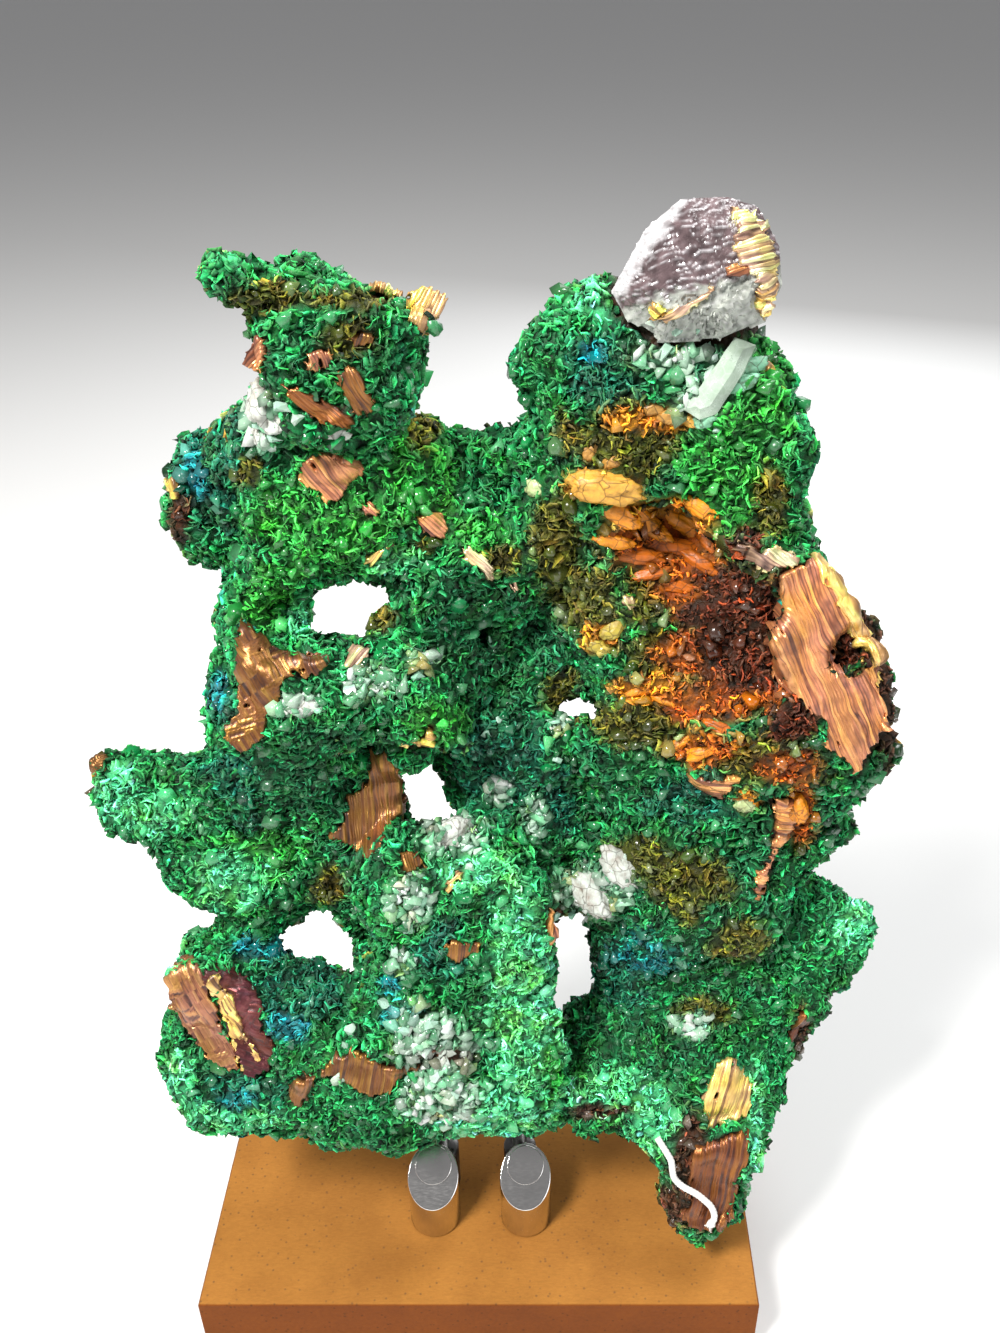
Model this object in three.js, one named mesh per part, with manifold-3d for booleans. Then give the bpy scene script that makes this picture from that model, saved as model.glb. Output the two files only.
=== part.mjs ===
// A specimen of native copper, crusted with green and blue minerals, on its small stand.
// Millimetres, +Z up. The origin is the centre of the board's underside, +X to the right, +Y to the back.

import * as THREE from "three";
import { mergeVertices } from "three/addons/utils/BufferGeometryUtils.js";
import { ImprovedNoise } from "three/addons/math/ImprovedNoise.js";
import Module from "manifold-3d";

const wasm = await Module();
wasm.setup();

// Stand
const BOARD = { width: 170, depth: 100, height: 25, edge: 0.6 };
const STAND_MIDDLE = -0.6;
const POST = { radius: 8, spacing: 29, y: -20, middleHeight: 20, topSlope: 36, sides: 24 };
const DISC = { radius: 5.8, rimRadius: 5.5, height: 0.9, rise: 3.2 };
const ROD = { radius: 5.2, height: 18, pinRadius: 2.4, pinLength: 40, spacing: 25, y: -7, sides: 16 };
const TOUCH_GAP = 0.3;

// Specimen
const FACE_LEAN = THREE.MathUtils.degToRad(7);
const FACE_FOOT = new THREE.Vector3(0, -12, 55);
const ROUGHNESS = [
  { amount: 7, scale: 27 },
  { amount: 3.6, scale: 11 },
];
// Where in the noise the three directions are read, so that they differ.
const NOISE_STARTS = { x: [0, 0, 7.3], y: [31.7, 0, 0], z: [0, 17.1, 0] };
const LOBE_FULLNESS = 0.72;
const FACET_SPAN = 64;
const OPENING_PINCH = 0.4;
const OPENING_REACH = 22;
const KNOT_SWELL = 1.1;
const KNOT_FINE_FROM = 13.5;
// How much a sheet or block keeps to the leaning face instead of the surface behind it, and how far inside
// its outline that surface is felt for.
const RESTING_STIFFNESS = 0.6;
const RESTING_INSET = 0.3;
const NEAR_SIDE = 200;
const FAR_SIDE = 480;

// String
const STRING = { diameter: 2, sides: 8, steps: 12 };
// The string's route, from the crevice where it is tucked in to its loose end.
const STRING_ROUTE = [
  [53, -31, 78.2], [54.4, -32.5, 76.6], [55.8, -33.8, 74.8], [57, -34.9, 72.9], [57.4, -35.9, 70.4],
  [57.9, -36.7, 67.9], [59.2, -37.3, 66.1], [61, -38.3, 65.2], [63.2, -39.2, 64.6], [65.2, -39.8, 63.5],
  [67.2, -40.5, 61.9], [68.8, -41, 60.2], [69.8, -41.5, 57.9], [70, -41.9, 55.6], [69.2, -42.2, 53.5],
];

// The outlines below are in view units: the front seen from a little above, VIEW_WIDTH by VIEW_HEIGHT units.
const VIEW_WIDTH = 1000;
const VIEW_HEIGHT = 1333;
const VIEW_CENTRE = { x: 0.546 * VIEW_WIDTH, y: 0.5 * VIEW_HEIGHT };
const VIEW_FOCAL = 1250;
const VIEW_PITCH = THREE.MathUtils.degToRad(32.2);
const VIEW_EYE = new THREE.Vector3(20.4, -267.2, 390);

// Each lobe of the specimen: its outline, how far its middle stands forward of the leaning face, how far it
// bulges to the front and to the back, and the degrees by which its foot tips forward and its right side
// swings back.
const LOBES = {
  headHorn: {
    outline: [
      [203, 298], [207, 278], [215, 258], [226, 243], [243, 242], [262, 254], [300, 262], [330, 290],
      [320, 330], [280, 335], [256, 318], [240, 305], [225, 308],
    ],
    forward: 15, front: 9, back: 9, tip: 0, swing: 12,
  },
  head: {
    outline: [
      [250, 262], [275, 250], [300, 246], [322, 251], [348, 254], [366, 275], [398, 286], [424, 288],
      [449, 298], [440, 316], [430, 334], [438, 355], [434, 385], [422, 400], [410, 430], [380, 465],
      [330, 460], [290, 435], [255, 400], [243, 370], [256, 335], [250, 300],
    ],
    forward: 11, front: 15, back: 14, tip: 4, swing: 0,
  },
  headFlag: {
    outline: [[400, 292], [430, 286], [450, 298], [443, 316], [424, 335], [404, 322]],
    forward: 17, front: 4, back: 5, tip: 0, swing: 14,
  },
  shoulder: {
    outline: [
      [234, 400], [290, 395], [360, 415], [425, 398], [450, 444], [472, 500], [445, 560], [392, 577],
      [340, 590], [290, 592], [240, 566], [234, 500], [230, 440],
    ],
    forward: 1, front: 13, back: 13, tip: 0, swing: 0,
  },
  tealLobe: {
    outline: [
      [245, 395], [218, 414], [196, 424], [180, 442], [165, 458], [162, 482], [168, 508], [176, 528],
      [187, 548], [207, 563], [240, 568], [285, 545], [300, 490], [285, 430],
    ],
    forward: -9, front: 11, back: 10, tip: 0, swing: -8,
  },
  leftArm: {
    outline: [
      [236, 535], [290, 535], [326, 575], [320, 640], [334, 680], [280, 706], [232, 684], [218, 656],
      [237, 632], [229, 600], [225, 575],
    ],
    forward: 1, front: 12, back: 11, tip: 0, swing: 0,
  },
  leftBlock: {
    outline: [
      [237, 617], [234, 650], [215, 670], [214, 690], [205, 712], [214, 732], [238, 757], [270, 752],
      [300, 745], [340, 748], [380, 738], [430, 750], [464, 738], [470, 712], [462, 680], [440, 650],
      [410, 628], [365, 620], [330, 646], [300, 648], [262, 636],
    ],
    forward: 8, front: 15, back: 13, tip: -8, swing: 4,
  },
  centreUpper: {
    outline: [
      [382, 530], [440, 450], [500, 470], [535, 520], [540, 580], [505, 655], [472, 705], [430, 694],
      [395, 644], [370, 612], [385, 575],
    ],
    forward: 0, front: 12, back: 12, tip: 0, swing: 8,
  },
  bridge: {
    outline: [
      [430, 436], [447, 436], [470, 430], [498, 424], [512, 446], [538, 423], [585, 430], [605, 500],
      [595, 560], [540, 605], [480, 575], [440, 525], [425, 475],
    ],
    forward: 2, front: 9, back: 11, tip: 0, swing: 0,
  },
  middle: {
    outline: [
      [452, 640], [480, 570], [560, 520], [615, 560], [640, 640], [632, 760], [612, 830], [572, 872],
      [520, 848], [470, 835], [447, 814], [436, 780], [430, 755], [445, 700],
    ],
    forward: -10, front: 13, back: 12, tip: 0, swing: 0,
  },
  leftNeck: {
    outline: [
      [220, 735], [300, 720], [400, 732], [403, 770], [402, 798], [442, 812], [435, 880], [405, 962],
      [358, 942], [330, 905], [290, 915], [262, 928], [225, 930], [204, 915], [203, 890], [214, 850],
      [222, 800], [220, 760],
    ],
    forward: -3, front: 13, back: 12, tip: 0, swing: 0,
  },
  spur: {
    outline: [
      [86, 784], [84, 766], [95, 752], [115, 752], [125, 761], [164, 770], [206, 774], [227, 752],
      [262, 748], [300, 790], [290, 860], [262, 900], [235, 928], [209, 914], [206, 888], [193, 898],
      [174, 892], [168, 874], [155, 852], [132, 834], [109, 816], [103, 797],
    ],
    forward: 1, front: 8, back: 8, tip: 0, swing: -10,
  },
  eggLobe: {
    outline: [
      [188, 925], [230, 921], [262, 931], [300, 956], [345, 969], [368, 991], [392, 1020], [402, 1060],
      [395, 1110], [370, 1141], [344, 1123], [305, 1132], [240, 1134], [213, 1114], [197, 1078],
      [163, 1034], [160, 985], [171, 943],
    ],
    forward: 8, front: 19, back: 13, tip: 6, swing: -8,
  },
  centreLeaf: {
    outline: [
      [420, 815], [470, 835], [505, 850], [530, 868], [548, 884], [557, 930], [557, 1000], [555, 1050],
      [553, 1100], [540, 1134], [505, 1132], [465, 1146], [434, 1150], [398, 1156], [372, 1142],
      [345, 1130], [325, 1100], [318, 1060], [338, 1020], [366, 1000], [374, 950], [358, 900], [362, 850],
      [395, 822],
    ],
    forward: 16, front: 12, back: 15, tip: 4, swing: 6,
  },
  rightShoulder: {
    outline: [
      [523, 338], [540, 314], [575, 279], [603, 269], [640, 250], [690, 270], [720, 340], [725, 430],
      [690, 520], [620, 560], [560, 545], [522, 475], [536, 425], [543, 393], [522, 368],
    ],
    forward: 2, front: 13, back: 15, tip: 0, swing: -6,
  },
  rightWing: {
    outline: [
      [690, 320], [768, 316], [772, 340], [797, 395], [819, 452], [795, 455], [794, 480], [786, 500],
      [812, 532], [820, 570], [770, 610], [700, 570], [655, 490], [655, 400],
    ],
    forward: 4, front: 13, back: 15, tip: 0, swing: 10,
  },
  rightMiddle: {
    outline: [
      [556, 520], [620, 490], [700, 510], [745, 600], [750, 700], [740, 785], [690, 835], [630, 815],
      [585, 745], [565, 685], [555, 600],
    ],
    forward: 0, front: 13, back: 14, tip: 0, swing: 0,
  },
  rightBelly: {
    outline: [
      [720, 520], [786, 503], [826, 553], [859, 618], [886, 668], [888, 708], [892, 733], [867, 777],
      [849, 811], [800, 840], [735, 810], [690, 730], [680, 640], [690, 560],
    ],
    forward: 6, front: 16, back: 16, tip: 0, swing: 8,
  },
  rightWaist: {
    outline: [
      [592, 760], [680, 735], [760, 750], [849, 811], [822, 837], [802, 869], [785, 905], [745, 965],
      [660, 975], [592, 935], [574, 872],
    ],
    forward: -2, front: 14, back: 14, tip: 0, swing: 0,
  },
  rightLower: {
    outline: [
      [590, 870], [700, 850], [800, 878], [842, 881], [869, 908], [881, 925], [864, 967], [854, 989],
      [822, 971], [804, 986], [809, 1013], [785, 1053], [760, 1090], [700, 1095], [620, 1085], [572, 1045],
      [588, 960], [572, 890],
    ],
    forward: -8, front: 14, back: 12, tip: 4, swing: 0,
  },
  legRoot: {
    outline: [
      [548, 1052], [600, 1000], [720, 1000], [787, 1051], [777, 1097], [764, 1140], [720, 1160],
      [660, 1162], [626, 1130], [605, 1113], [564, 1117], [545, 1128],
    ],
    forward: 5, front: 12, back: 12, tip: 12, swing: 0,
  },
  legTip: {
    outline: [
      [650, 1090], [700, 1040], [760, 1045], [778, 1095], [762, 1146], [750, 1175], [743, 1222],
      [724, 1232], [704, 1240], [680, 1229], [667, 1200], [671, 1176], [655, 1158], [640, 1140],
    ],
    forward: 15, front: 10, back: 12, tip: 14, swing: 0,
  },
};

// Large lumps that tie lobes of different depth together: place in the view, how far forward, and radius.
const KNOTS = [
  { at: [300, 735], forward: 2, radius: 14 },
  { at: [400, 735], forward: 0, radius: 11 },
  { at: [405, 880], forward: 8, radius: 15 },
  { at: [480, 870], forward: 6, radius: 14 },
  { at: [540, 900], forward: -2, radius: 12 },
  { at: [592, 1030], forward: -4, radius: 13 },
  { at: [560, 1090], forward: 6, radius: 12 },
  { at: [400, 1000], forward: 8, radius: 16 },
  { at: [430, 700], forward: -4, radius: 13 },
  { at: [452, 1088], forward: 0, radius: 15 },
  { at: [522, 1084], forward: 0, radius: 14 },
];

// Blocks with flat faces that stand out of the crust: outline in the view, thickness, how far they stand
// proud of what is behind them, and the size of their bevelled faces.
const BLOCKS = {
  topCrystal: {
    outline: [
      [617, 288], [648, 230], [682, 201], [728, 199], [758, 210], [778, 246], [782, 284], [768, 318],
      [724, 338], [660, 342], [632, 326],
    ],
    thickness: 34, proud: 12, bevel: 5,
  },
  whitePlank: {
    outline: [[735, 337], [757, 345], [716, 412], [700, 420], [672, 404]],
    thickness: 12, proud: 2, bevel: 1.5,
  },
  greyBlock: {
    outline: [[640, 335], [700, 335], [712, 378], [662, 396], [634, 370]],
    thickness: 14, proud: 2, bevel: 2,
  },
  whiteHead: {
    outline: [[250, 384], [276, 390], [308, 420], [286, 442], [262, 452], [250, 424]],
    thickness: 14, proud: 2, bevel: 2,
  },
  ochreRidge: {
    outline: [[568, 493], [600, 472], [640, 467], [634, 484], [612, 503], [582, 503]],
    thickness: 14, proud: 2, bevel: 2,
  },
  whiteWaist: {
    outline: [[625, 850], [636, 866], [590, 920], [562, 925], [555, 905], [596, 858]],
    thickness: 12, proud: 2, bevel: 2,
  },
  whiteFoot: {
    outline: [[430, 1014], [462, 1020], [470, 1060], [440, 1082], [404, 1064], [402, 1030]],
    thickness: 12, proud: 2, bevel: 2,
  },
};

// Sheets of bare copper, nearly flat, that the crust grew around.
const COPPER_SHEETS = {
  headGrooved: [[337, 370], [358, 370], [373, 400], [374, 413], [352, 412], [335, 384]],
  shoulderRose: [
    [300, 470], [320, 449], [350, 451], [368, 471], [352, 486], [338, 502], [318, 492], [298, 486],
  ],
  leftBlock: [
    [239, 620], [263, 641], [300, 654], [328, 658], [322, 675], [292, 673], [270, 706], [262, 737],
    [242, 755], [220, 733], [236, 710], [236, 676],
  ],
  centre: [
    [375, 742], [399, 760], [404, 812], [388, 832], [368, 859], [328, 840], [344, 806], [356, 790],
  ],
  eggFace: [
    [166, 975], [188, 957], [235, 972], [260, 1004], [275, 1052], [250, 1080], [206, 1062], [178, 1028],
  ],
  eggHook: [[288, 1085], [322, 1065], [357, 1045], [405, 1062], [392, 1094], [340, 1080], [304, 1102]],
  rightPlate: [
    [728, 526], [760, 550], [800, 552], [834, 574], [875, 645], [888, 732], [860, 778], [828, 745],
    [828, 720], [775, 676], [768, 636], [782, 600], [746, 566],
  ],
  rightPink: [[686, 771], [745, 772], [722, 803], [700, 798]],
  rightStrip: [[766, 780], [800, 792], [796, 820], [778, 866], [760, 908], [753, 888], [770, 850]],
  legGold: [[706, 1086], [718, 1058], [735, 1060], [756, 1086], [750, 1114], [712, 1134], [702, 1106]],
  legBrown: [[692, 1140], [744, 1126], [744, 1158], [736, 1214], [704, 1236], [678, 1220], [690, 1190]],
};
const SHEET = { thickness: 4, proud: 0.9, bevel: 0 };

// The rusty hollow on the right, and the dark pit in the largest copper sheet.
const RUSTY_HOLLOW = [
  { at: [712, 640], radius: 25, height: 27, depth: 11, detail: 2 },
  { at: [668, 560], radius: 16, height: 13, depth: 6, detail: 2 },
];
const PLATE_PIT = { at: [852, 650], radius: 5, height: 7, depth: 4, detail: 1 };

// Small sharp crystals along the lobes: one at every so many corners of a lobe, half sunk in it.
const CRYSTAL = { first: 60, every: 64, radius: 4.6, spread: 0.35, heightShare: 1.25, grain: 0.4 };

// Openings that show daylight from the front, each cut along the line of sight.
const HOLES = {
  upperLeft: [
    [319, 599], [315, 615], [310, 622], [314, 638], [327, 643], [353, 638], [363, 622], [365, 613],
    [385, 610], [393, 597], [388, 585], [365, 586], [340, 597],
  ],
  centre: [
    [400, 771], [402, 790], [407, 798], [429, 798], [447, 813], [445, 800], [438, 782], [422, 762],
    [410, 768],
  ],
  rightCrescent: [
    [552, 714], [560, 702], [588, 696], [598, 706], [599, 727], [588, 723], [584, 709], [566, 722],
  ],
  lowerLeft: [
    [269, 931], [290, 923], [308, 912], [325, 906], [336, 914], [348, 939], [359, 964], [370, 987],
    [362, 1000], [352, 975], [326, 962], [294, 948],
  ],
  bridge: [[501, 480], [510, 477], [520, 482], [519, 494], [508, 498]],
  underBridge: [[478, 618], [490, 622], [489, 645], [480, 650], [475, 634]],
};

// Local axes of a lobe: along right, up and forward from its place on the specimen's leaning face.
function lobeFrame({ outline, forward, tip, swing }) {
  const middle = outline.reduce((sum, [x, y]) => [sum[0] + x, sum[1] + y], [0, 0]);
  const centre = [middle[0] / outline.length, middle[1] / outline.length];
  const face = axesOf(FACE_LEAN, 0);
  const anchor = onPlane(centre, FACE_FOOT.clone().addScaledVector(face.normal, forward), face.normal);
  const axes = axesOf(FACE_LEAN + THREE.MathUtils.degToRad(tip), THREE.MathUtils.degToRad(swing));
  return { anchor, ...axes };
}

function axesOf(lean, swing) {
  const turn = new THREE.Matrix4().makeRotationZ(swing).multiply(new THREE.Matrix4().makeRotationX(-lean));
  const right = new THREE.Vector3(1, 0, 0).applyMatrix4(turn);
  const up = new THREE.Vector3(0, 0, 1).applyMatrix4(turn);
  const normal = new THREE.Vector3(0, -1, 0).applyMatrix4(turn);
  return { right, up, normal };
}

function sightLine([x, y]) {
  const along = new THREE.Vector3(0, Math.cos(VIEW_PITCH), -Math.sin(VIEW_PITCH));
  const down = new THREE.Vector3(0, -Math.sin(VIEW_PITCH), -Math.cos(VIEW_PITCH));
  along.x += (x - VIEW_CENTRE.x) / VIEW_FOCAL;
  return along.addScaledVector(down, (y - VIEW_CENTRE.y) / VIEW_FOCAL);
}

function onPlane(viewPoint, planePoint, normal) {
  const ray = sightLine(viewPoint);
  const distance = planePoint.clone().sub(VIEW_EYE).dot(normal) / ray.dot(normal);
  return VIEW_EYE.clone().addScaledVector(ray, distance);
}

// A view point as coordinates along right and up in a lobe's own plane.
function inFrame(viewPoint, frame) {
  const offset = onPlane(viewPoint, frame.anchor, frame.normal).sub(frame.anchor);
  return new THREE.Vector2(offset.dot(frame.right), offset.dot(frame.up));
}

function frameMatrix({ anchor, right, up, normal }) {
  return new THREE.Matrix4().makeBasis(right, up, normal).setPosition(anchor);
}

// Joining and cutting
function solidOf(geometry) {
  const merged = bareGeometry(geometry.clone());
  return new wasm.Manifold(
    new wasm.Mesh({
      numProp: 3,
      vertProperties: merged.attributes.position.array,
      triVerts: new Uint32Array(merged.index.array),
    }),
  );
}

function geometryOf(solid) {
  const mesh = solid.getMesh();
  const geometry = new THREE.BufferGeometry();
  geometry.setAttribute("position", new THREE.BufferAttribute(mesh.vertProperties, 3));
  geometry.setIndex(new THREE.BufferAttribute(mesh.triVerts, 1));
  const faceted = geometry.toNonIndexed();
  faceted.computeVertexNormals();
  return faceted;
}

const noise = new ImprovedNoise();

function bareGeometry(geometry) {
  for (const name of Object.keys(geometry.attributes)) {
    if (name !== "position") geometry.deleteAttribute(name);
  }
  return mergeVertices(geometry, 1e-3);
}

// Moves each vertex by smooth noise that depends only on its place.
function roughened(geometry) {
  const place = geometry.attributes.position;
  for (const { amount, scale } of ROUGHNESS) {
    for (let index = 0; index < place.count; index++) {
      const [x, y, z] = [place.getX(index), place.getY(index), place.getZ(index)];
      const at = (start) => [x / scale + start[0], y / scale + start[1], z / scale + start[2]];
      const shift = (start) => amount * noise.noise(...at(start));
      place.setXYZ(index, x + shift(NOISE_STARTS.x), y + shift(NOISE_STARTS.y), z + shift(NOISE_STARTS.z));
    }
  }
  return geometry;
}

// Parts of the specimen

// How far the outline is from its middle in one direction.
function outlineReach(direction, corners) {
  let reach = 0;
  corners.forEach((corner, index) => {
    const next = corners[(index + 1) % corners.length];
    const along = next.clone().sub(corner);
    const cross = direction.x * along.y - direction.y * along.x;
    const distance = (corner.x * along.y - corner.y * along.x) / cross;
    const share = (corner.x * direction.y - corner.y * direction.x) / cross;
    if (distance > 0 && share >= 0 && share <= 1) reach = Math.max(reach, distance);
  });
  return reach;
}

function edgeDistance(point, corners) {
  let nearest = Infinity;
  corners.forEach((corner, index) => {
    const next = corners[(index + 1) % corners.length];
    const along = next.clone().sub(corner);
    const share = THREE.MathUtils.clamp(point.clone().sub(corner).dot(along) / along.lengthSq(), 0, 1);
    nearest = Math.min(nearest, point.distanceTo(corner.clone().addScaledVector(along, share)));
  });
  return nearest;
}

// A ball pulled out to the lobe's outline, thinner beside the openings.
function lobeGeometry(lobe) {
  const frame = lobeFrame(lobe);
  const corners = lobe.outline.map((point) => inFrame(point, frame));
  const openings = Object.values(HOLES).map((hole) => hole.map((point) => inFrame(point, frame)));
  const size = new THREE.Box2().setFromPoints(corners).getSize(new THREE.Vector2());
  const detail = Math.round((size.x + size.y) / FACET_SPAN);
  const ball = bareGeometry(new THREE.IcosahedronGeometry(1, detail));
  const place = ball.attributes.position;
  const spot = new THREE.Vector3();
  for (let index = 0; index < place.count; index++) {
    spot.fromBufferAttribute(place, index);
    const flat = new THREE.Vector2(spot.x, spot.y);
    const share = flat.length() ** LOBE_FULLNESS;
    const direction = flat.lengthSq() > 0 ? flat.normalize() : new THREE.Vector2(1, 0);
    const inPlane = direction.clone().multiplyScalar(share * outlineReach(direction, corners));
    const holeRoom = Math.min(...openings.map((hole) => edgeDistance(inPlane, hole)));
    const pinch = THREE.MathUtils.clamp(OPENING_PINCH + holeRoom / OPENING_REACH, 0, 1);
    const bulge = spot.z > 0 ? lobe.front : lobe.back;
    const depth = Math.sign(spot.z) * Math.abs(spot.z) ** LOBE_FULLNESS * bulge * pinch;
    place.setXYZ(index, inPlane.x, inPlane.y, depth);
  }
  ball.applyMatrix4(frameMatrix(frame));
  return roughened(ball);
}

function knotGeometry({ at, forward, radius }) {
  const face = axesOf(FACE_LEAN, 0);
  const centre = onPlane(at, FACE_FOOT.clone().addScaledVector(face.normal, forward), face.normal);
  const knot = new THREE.IcosahedronGeometry(KNOT_SWELL * radius, radius > KNOT_FINE_FROM ? 1 : 0);
  knot.translate(centre.x, centre.y, centre.z);
  return roughened(bareGeometry(knot));
}

// Eight-sided crystals, seated on some corners of a lobe.
function crystalGeometries(lobe) {
  const place = lobe.attributes.position;
  const crystals = [];
  for (let index = CRYSTAL.first; index < place.count; index += CRYSTAL.every) {
    const seat = new THREE.Vector3().fromBufferAttribute(place, index);
    const change = noise.noise(...seat.clone().multiplyScalar(CRYSTAL.grain).toArray());
    const radius = CRYSTAL.radius * (1 + CRYSTAL.spread * 2 * change);
    const crystal = new THREE.OctahedronGeometry(radius, 0);
    crystal.scale(1, 1, CRYSTAL.heightShare);
    crystal.rotateX(seat.x);
    crystal.rotateY(seat.y);
    crystal.rotateZ(seat.z);
    crystal.translate(seat.x, seat.y, seat.z);
    crystals.push(crystal);
  }
  return crystals;
}

// The plane that best follows a surface behind an outline, found along the lines of sight.
function restingFrame(outline, surface) {
  const middle = new THREE.Vector2();
  for (const [x, y] of outline) middle.add(new THREE.Vector2(x, y).divideScalar(outline.length));
  const spots = outline.map(([x, y]) => new THREE.Vector2(x, y).lerp(middle, RESTING_INSET));
  const hits = [...spots, middle].map((spot) => surfaceHit([spot.x, spot.y], surface)).filter(Boolean);
  const anchor = new THREE.Vector3();
  const normal = axesOf(FACE_LEAN, 0).normal.multiplyScalar(RESTING_STIFFNESS * hits.length);
  for (const hit of hits) {
    anchor.addScaledVector(hit.point, 1 / hits.length);
    normal.add(hit.face.normal);
  }
  normal.normalize();
  const right = new THREE.Vector3(0, 0, 1).cross(normal).normalize();
  const up = normal.clone().cross(right);
  return { anchor, right, up, normal };
}

function surfaceHit(viewPoint, surface) {
  const caster = new THREE.Raycaster(VIEW_EYE, sightLine(viewPoint).normalize());
  return caster.intersectObject(surface)[0];
}

// A flat-faced plate that follows an outline, set into the surface and standing a little proud of it.
function plateGeometry(outline, surface, { thickness, proud, bevel }) {
  const frame = restingFrame(outline, surface);
  const shape = new THREE.Shape(outline.map((point) => inFrame(point, frame)));
  const plate = new THREE.ExtrudeGeometry(shape, {
    depth: thickness - 2 * bevel,
    bevelThickness: bevel,
    bevelSize: bevel,
    bevelOffset: -bevel,
    bevelSegments: 1,
    bevelEnabled: bevel > 0,
  });
  plate.translate(0, 0, proud - thickness + bevel);
  plate.applyMatrix4(frameMatrix(frame));
  return plate;
}

function pitGeometry({ at, radius, height, depth, detail }, surface) {
  const hit = surfaceHit(at, surface);
  const pit = bareGeometry(new THREE.IcosahedronGeometry(1, detail));
  pit.scale(radius, height, depth);
  pit.applyMatrix4(frameMatrix({ anchor: hit.point, ...axesOf(FACE_LEAN, 0) }));
  return roughened(pit);
}

// A solid that follows the lines of sight through an outline, to cut an opening.
function sightPrism(outline, near, far) {
  const shape = new THREE.Shape(outline.map(([x, y]) => new THREE.Vector2(x, -y)));
  const geometry = new THREE.ExtrudeGeometry(shape, { depth: 1, bevelEnabled: false });
  const place = geometry.attributes.position;
  for (let index = 0; index < place.count; index++) {
    const ray = sightLine([place.getX(index), -place.getY(index)]);
    const distance = THREE.MathUtils.lerp(far, near, place.getZ(index));
    const point = VIEW_EYE.clone().addScaledVector(ray, distance);
    place.setXYZ(index, point.x, point.y, point.z);
  }
  return geometry;
}

function joinAll(geometries) {
  return geometries.map(solidOf).reduce((sum, piece) => sum.add(piece));
}

function cutAll(solid, geometries) {
  return geometries.map(solidOf).reduce((rest, piece) => rest.subtract(piece), solid);
}

// The solid without its crumbs and sealed bubbles.
function largestBody(solid) {
  return solid.decompose().sort((one, other) => other.volume() - one.volume())[0];
}

function specimenSolid(cutters) {
  const lobes = Object.values(LOBES).map(lobeGeometry);
  const crust = joinAll([...lobes, ...KNOTS.map(knotGeometry), ...lobes.flatMap(crystalGeometries)]);
  const surface = new THREE.Mesh(geometryOf(crust));
  const blocks = Object.values(BLOCKS).map((block) => plateGeometry(block.outline, surface, block));
  const sheets = Object.values(COPPER_SHEETS).map((outline) => plateGeometry(outline, surface, SHEET));
  const hollow = RUSTY_HOLLOW.map((pit) => pitGeometry(pit, surface));
  const platePit = pitGeometry(PLATE_PIT, surface);
  const holes = Object.values(HOLES).map((hole) => sightPrism(hole, NEAR_SIDE, FAR_SIDE));
  const dressed = cutAll(crust, hollow).add(joinAll([...blocks, ...sheets]));
  return largestBody(cutAll(dressed, [platePit, ...holes, ...cutters]));
}

// Parts of the stand
function boardGeometry() {
  const { width, depth, height, edge } = BOARD;
  const shape = new THREE.Shape();
  shape.moveTo(-width / 2, -depth / 2);
  shape.lineTo(width / 2, -depth / 2);
  shape.lineTo(width / 2, depth / 2);
  shape.lineTo(-width / 2, depth / 2);
  const board = new THREE.ExtrudeGeometry(shape, {
    depth: height - 2 * edge,
    bevelThickness: edge,
    bevelSize: edge,
    bevelOffset: -edge,
    bevelSegments: 1,
  });
  board.translate(0, 0, edge);
  return board;
}

// A round post whose slanted top faces forward, with a low disc on the slope.
function postGeometry(x) {
  const { radius, middleHeight, sides, y } = POST;
  const topSlope = THREE.MathUtils.degToRad(POST.topSlope);
  const foot = BOARD.height + TOUCH_GAP;
  const middleTop = BOARD.height + middleHeight;
  const fullHeight = middleTop + 2 * radius - foot;
  const bar = new THREE.CylinderGeometry(radius, radius, fullHeight, sides);
  bar.rotateX(Math.PI / 2);
  bar.translate(x, y, foot + fullHeight / 2);
  const cutter = new THREE.BoxGeometry(6 * radius, 6 * radius, 4 * radius);
  cutter.translate(0, 0, 2 * radius);
  cutter.rotateX(topSlope);
  cutter.translate(x, y, middleTop);
  const disc = new THREE.CylinderGeometry(DISC.rimRadius, DISC.radius, 2 * DISC.height, sides);
  disc.rotateX(Math.PI / 2);
  disc.translate(0, DISC.rise, 0);
  disc.rotateX(topSlope);
  disc.translate(x, y, middleTop);
  return geometryOf(solidOf(bar).subtract(solidOf(cutter)).add(solidOf(disc)));
}

function rodGeometry(x, grow = 0) {
  const { radius, height, pinRadius, pinLength, sides, y } = ROD;
  const profile = [
    [0, -grow],
    [radius + grow, -grow],
    [radius + grow, height + grow],
    [pinRadius + grow, height + grow],
    [pinRadius + grow, height + pinLength + grow - pinRadius / 2],
    [pinRadius / 2 + grow, height + pinLength + grow],
    [0, height + pinLength + grow],
  ];
  const rod = new THREE.LatheGeometry(profile.map(([r, z]) => new THREE.Vector2(r, z)), sides);
  rod.rotateX(Math.PI / 2);
  rod.translate(x, y, BOARD.height + TOUCH_GAP);
  return rod;
}

function stringGeometry(radius) {
  const route = new THREE.CatmullRomCurve3(STRING_ROUTE.map((point) => new THREE.Vector3(...point)));
  const section = new THREE.Shape();
  for (let corner = 0; corner < STRING.sides; corner++) {
    const turn = (2 * Math.PI * corner) / STRING.sides;
    if (corner === 0) section.moveTo(radius, 0);
    else section.lineTo(radius * Math.cos(turn), radius * Math.sin(turn));
  }
  return new THREE.ExtrudeGeometry(section, { steps: STRING.steps, extrudePath: route });
}

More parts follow.
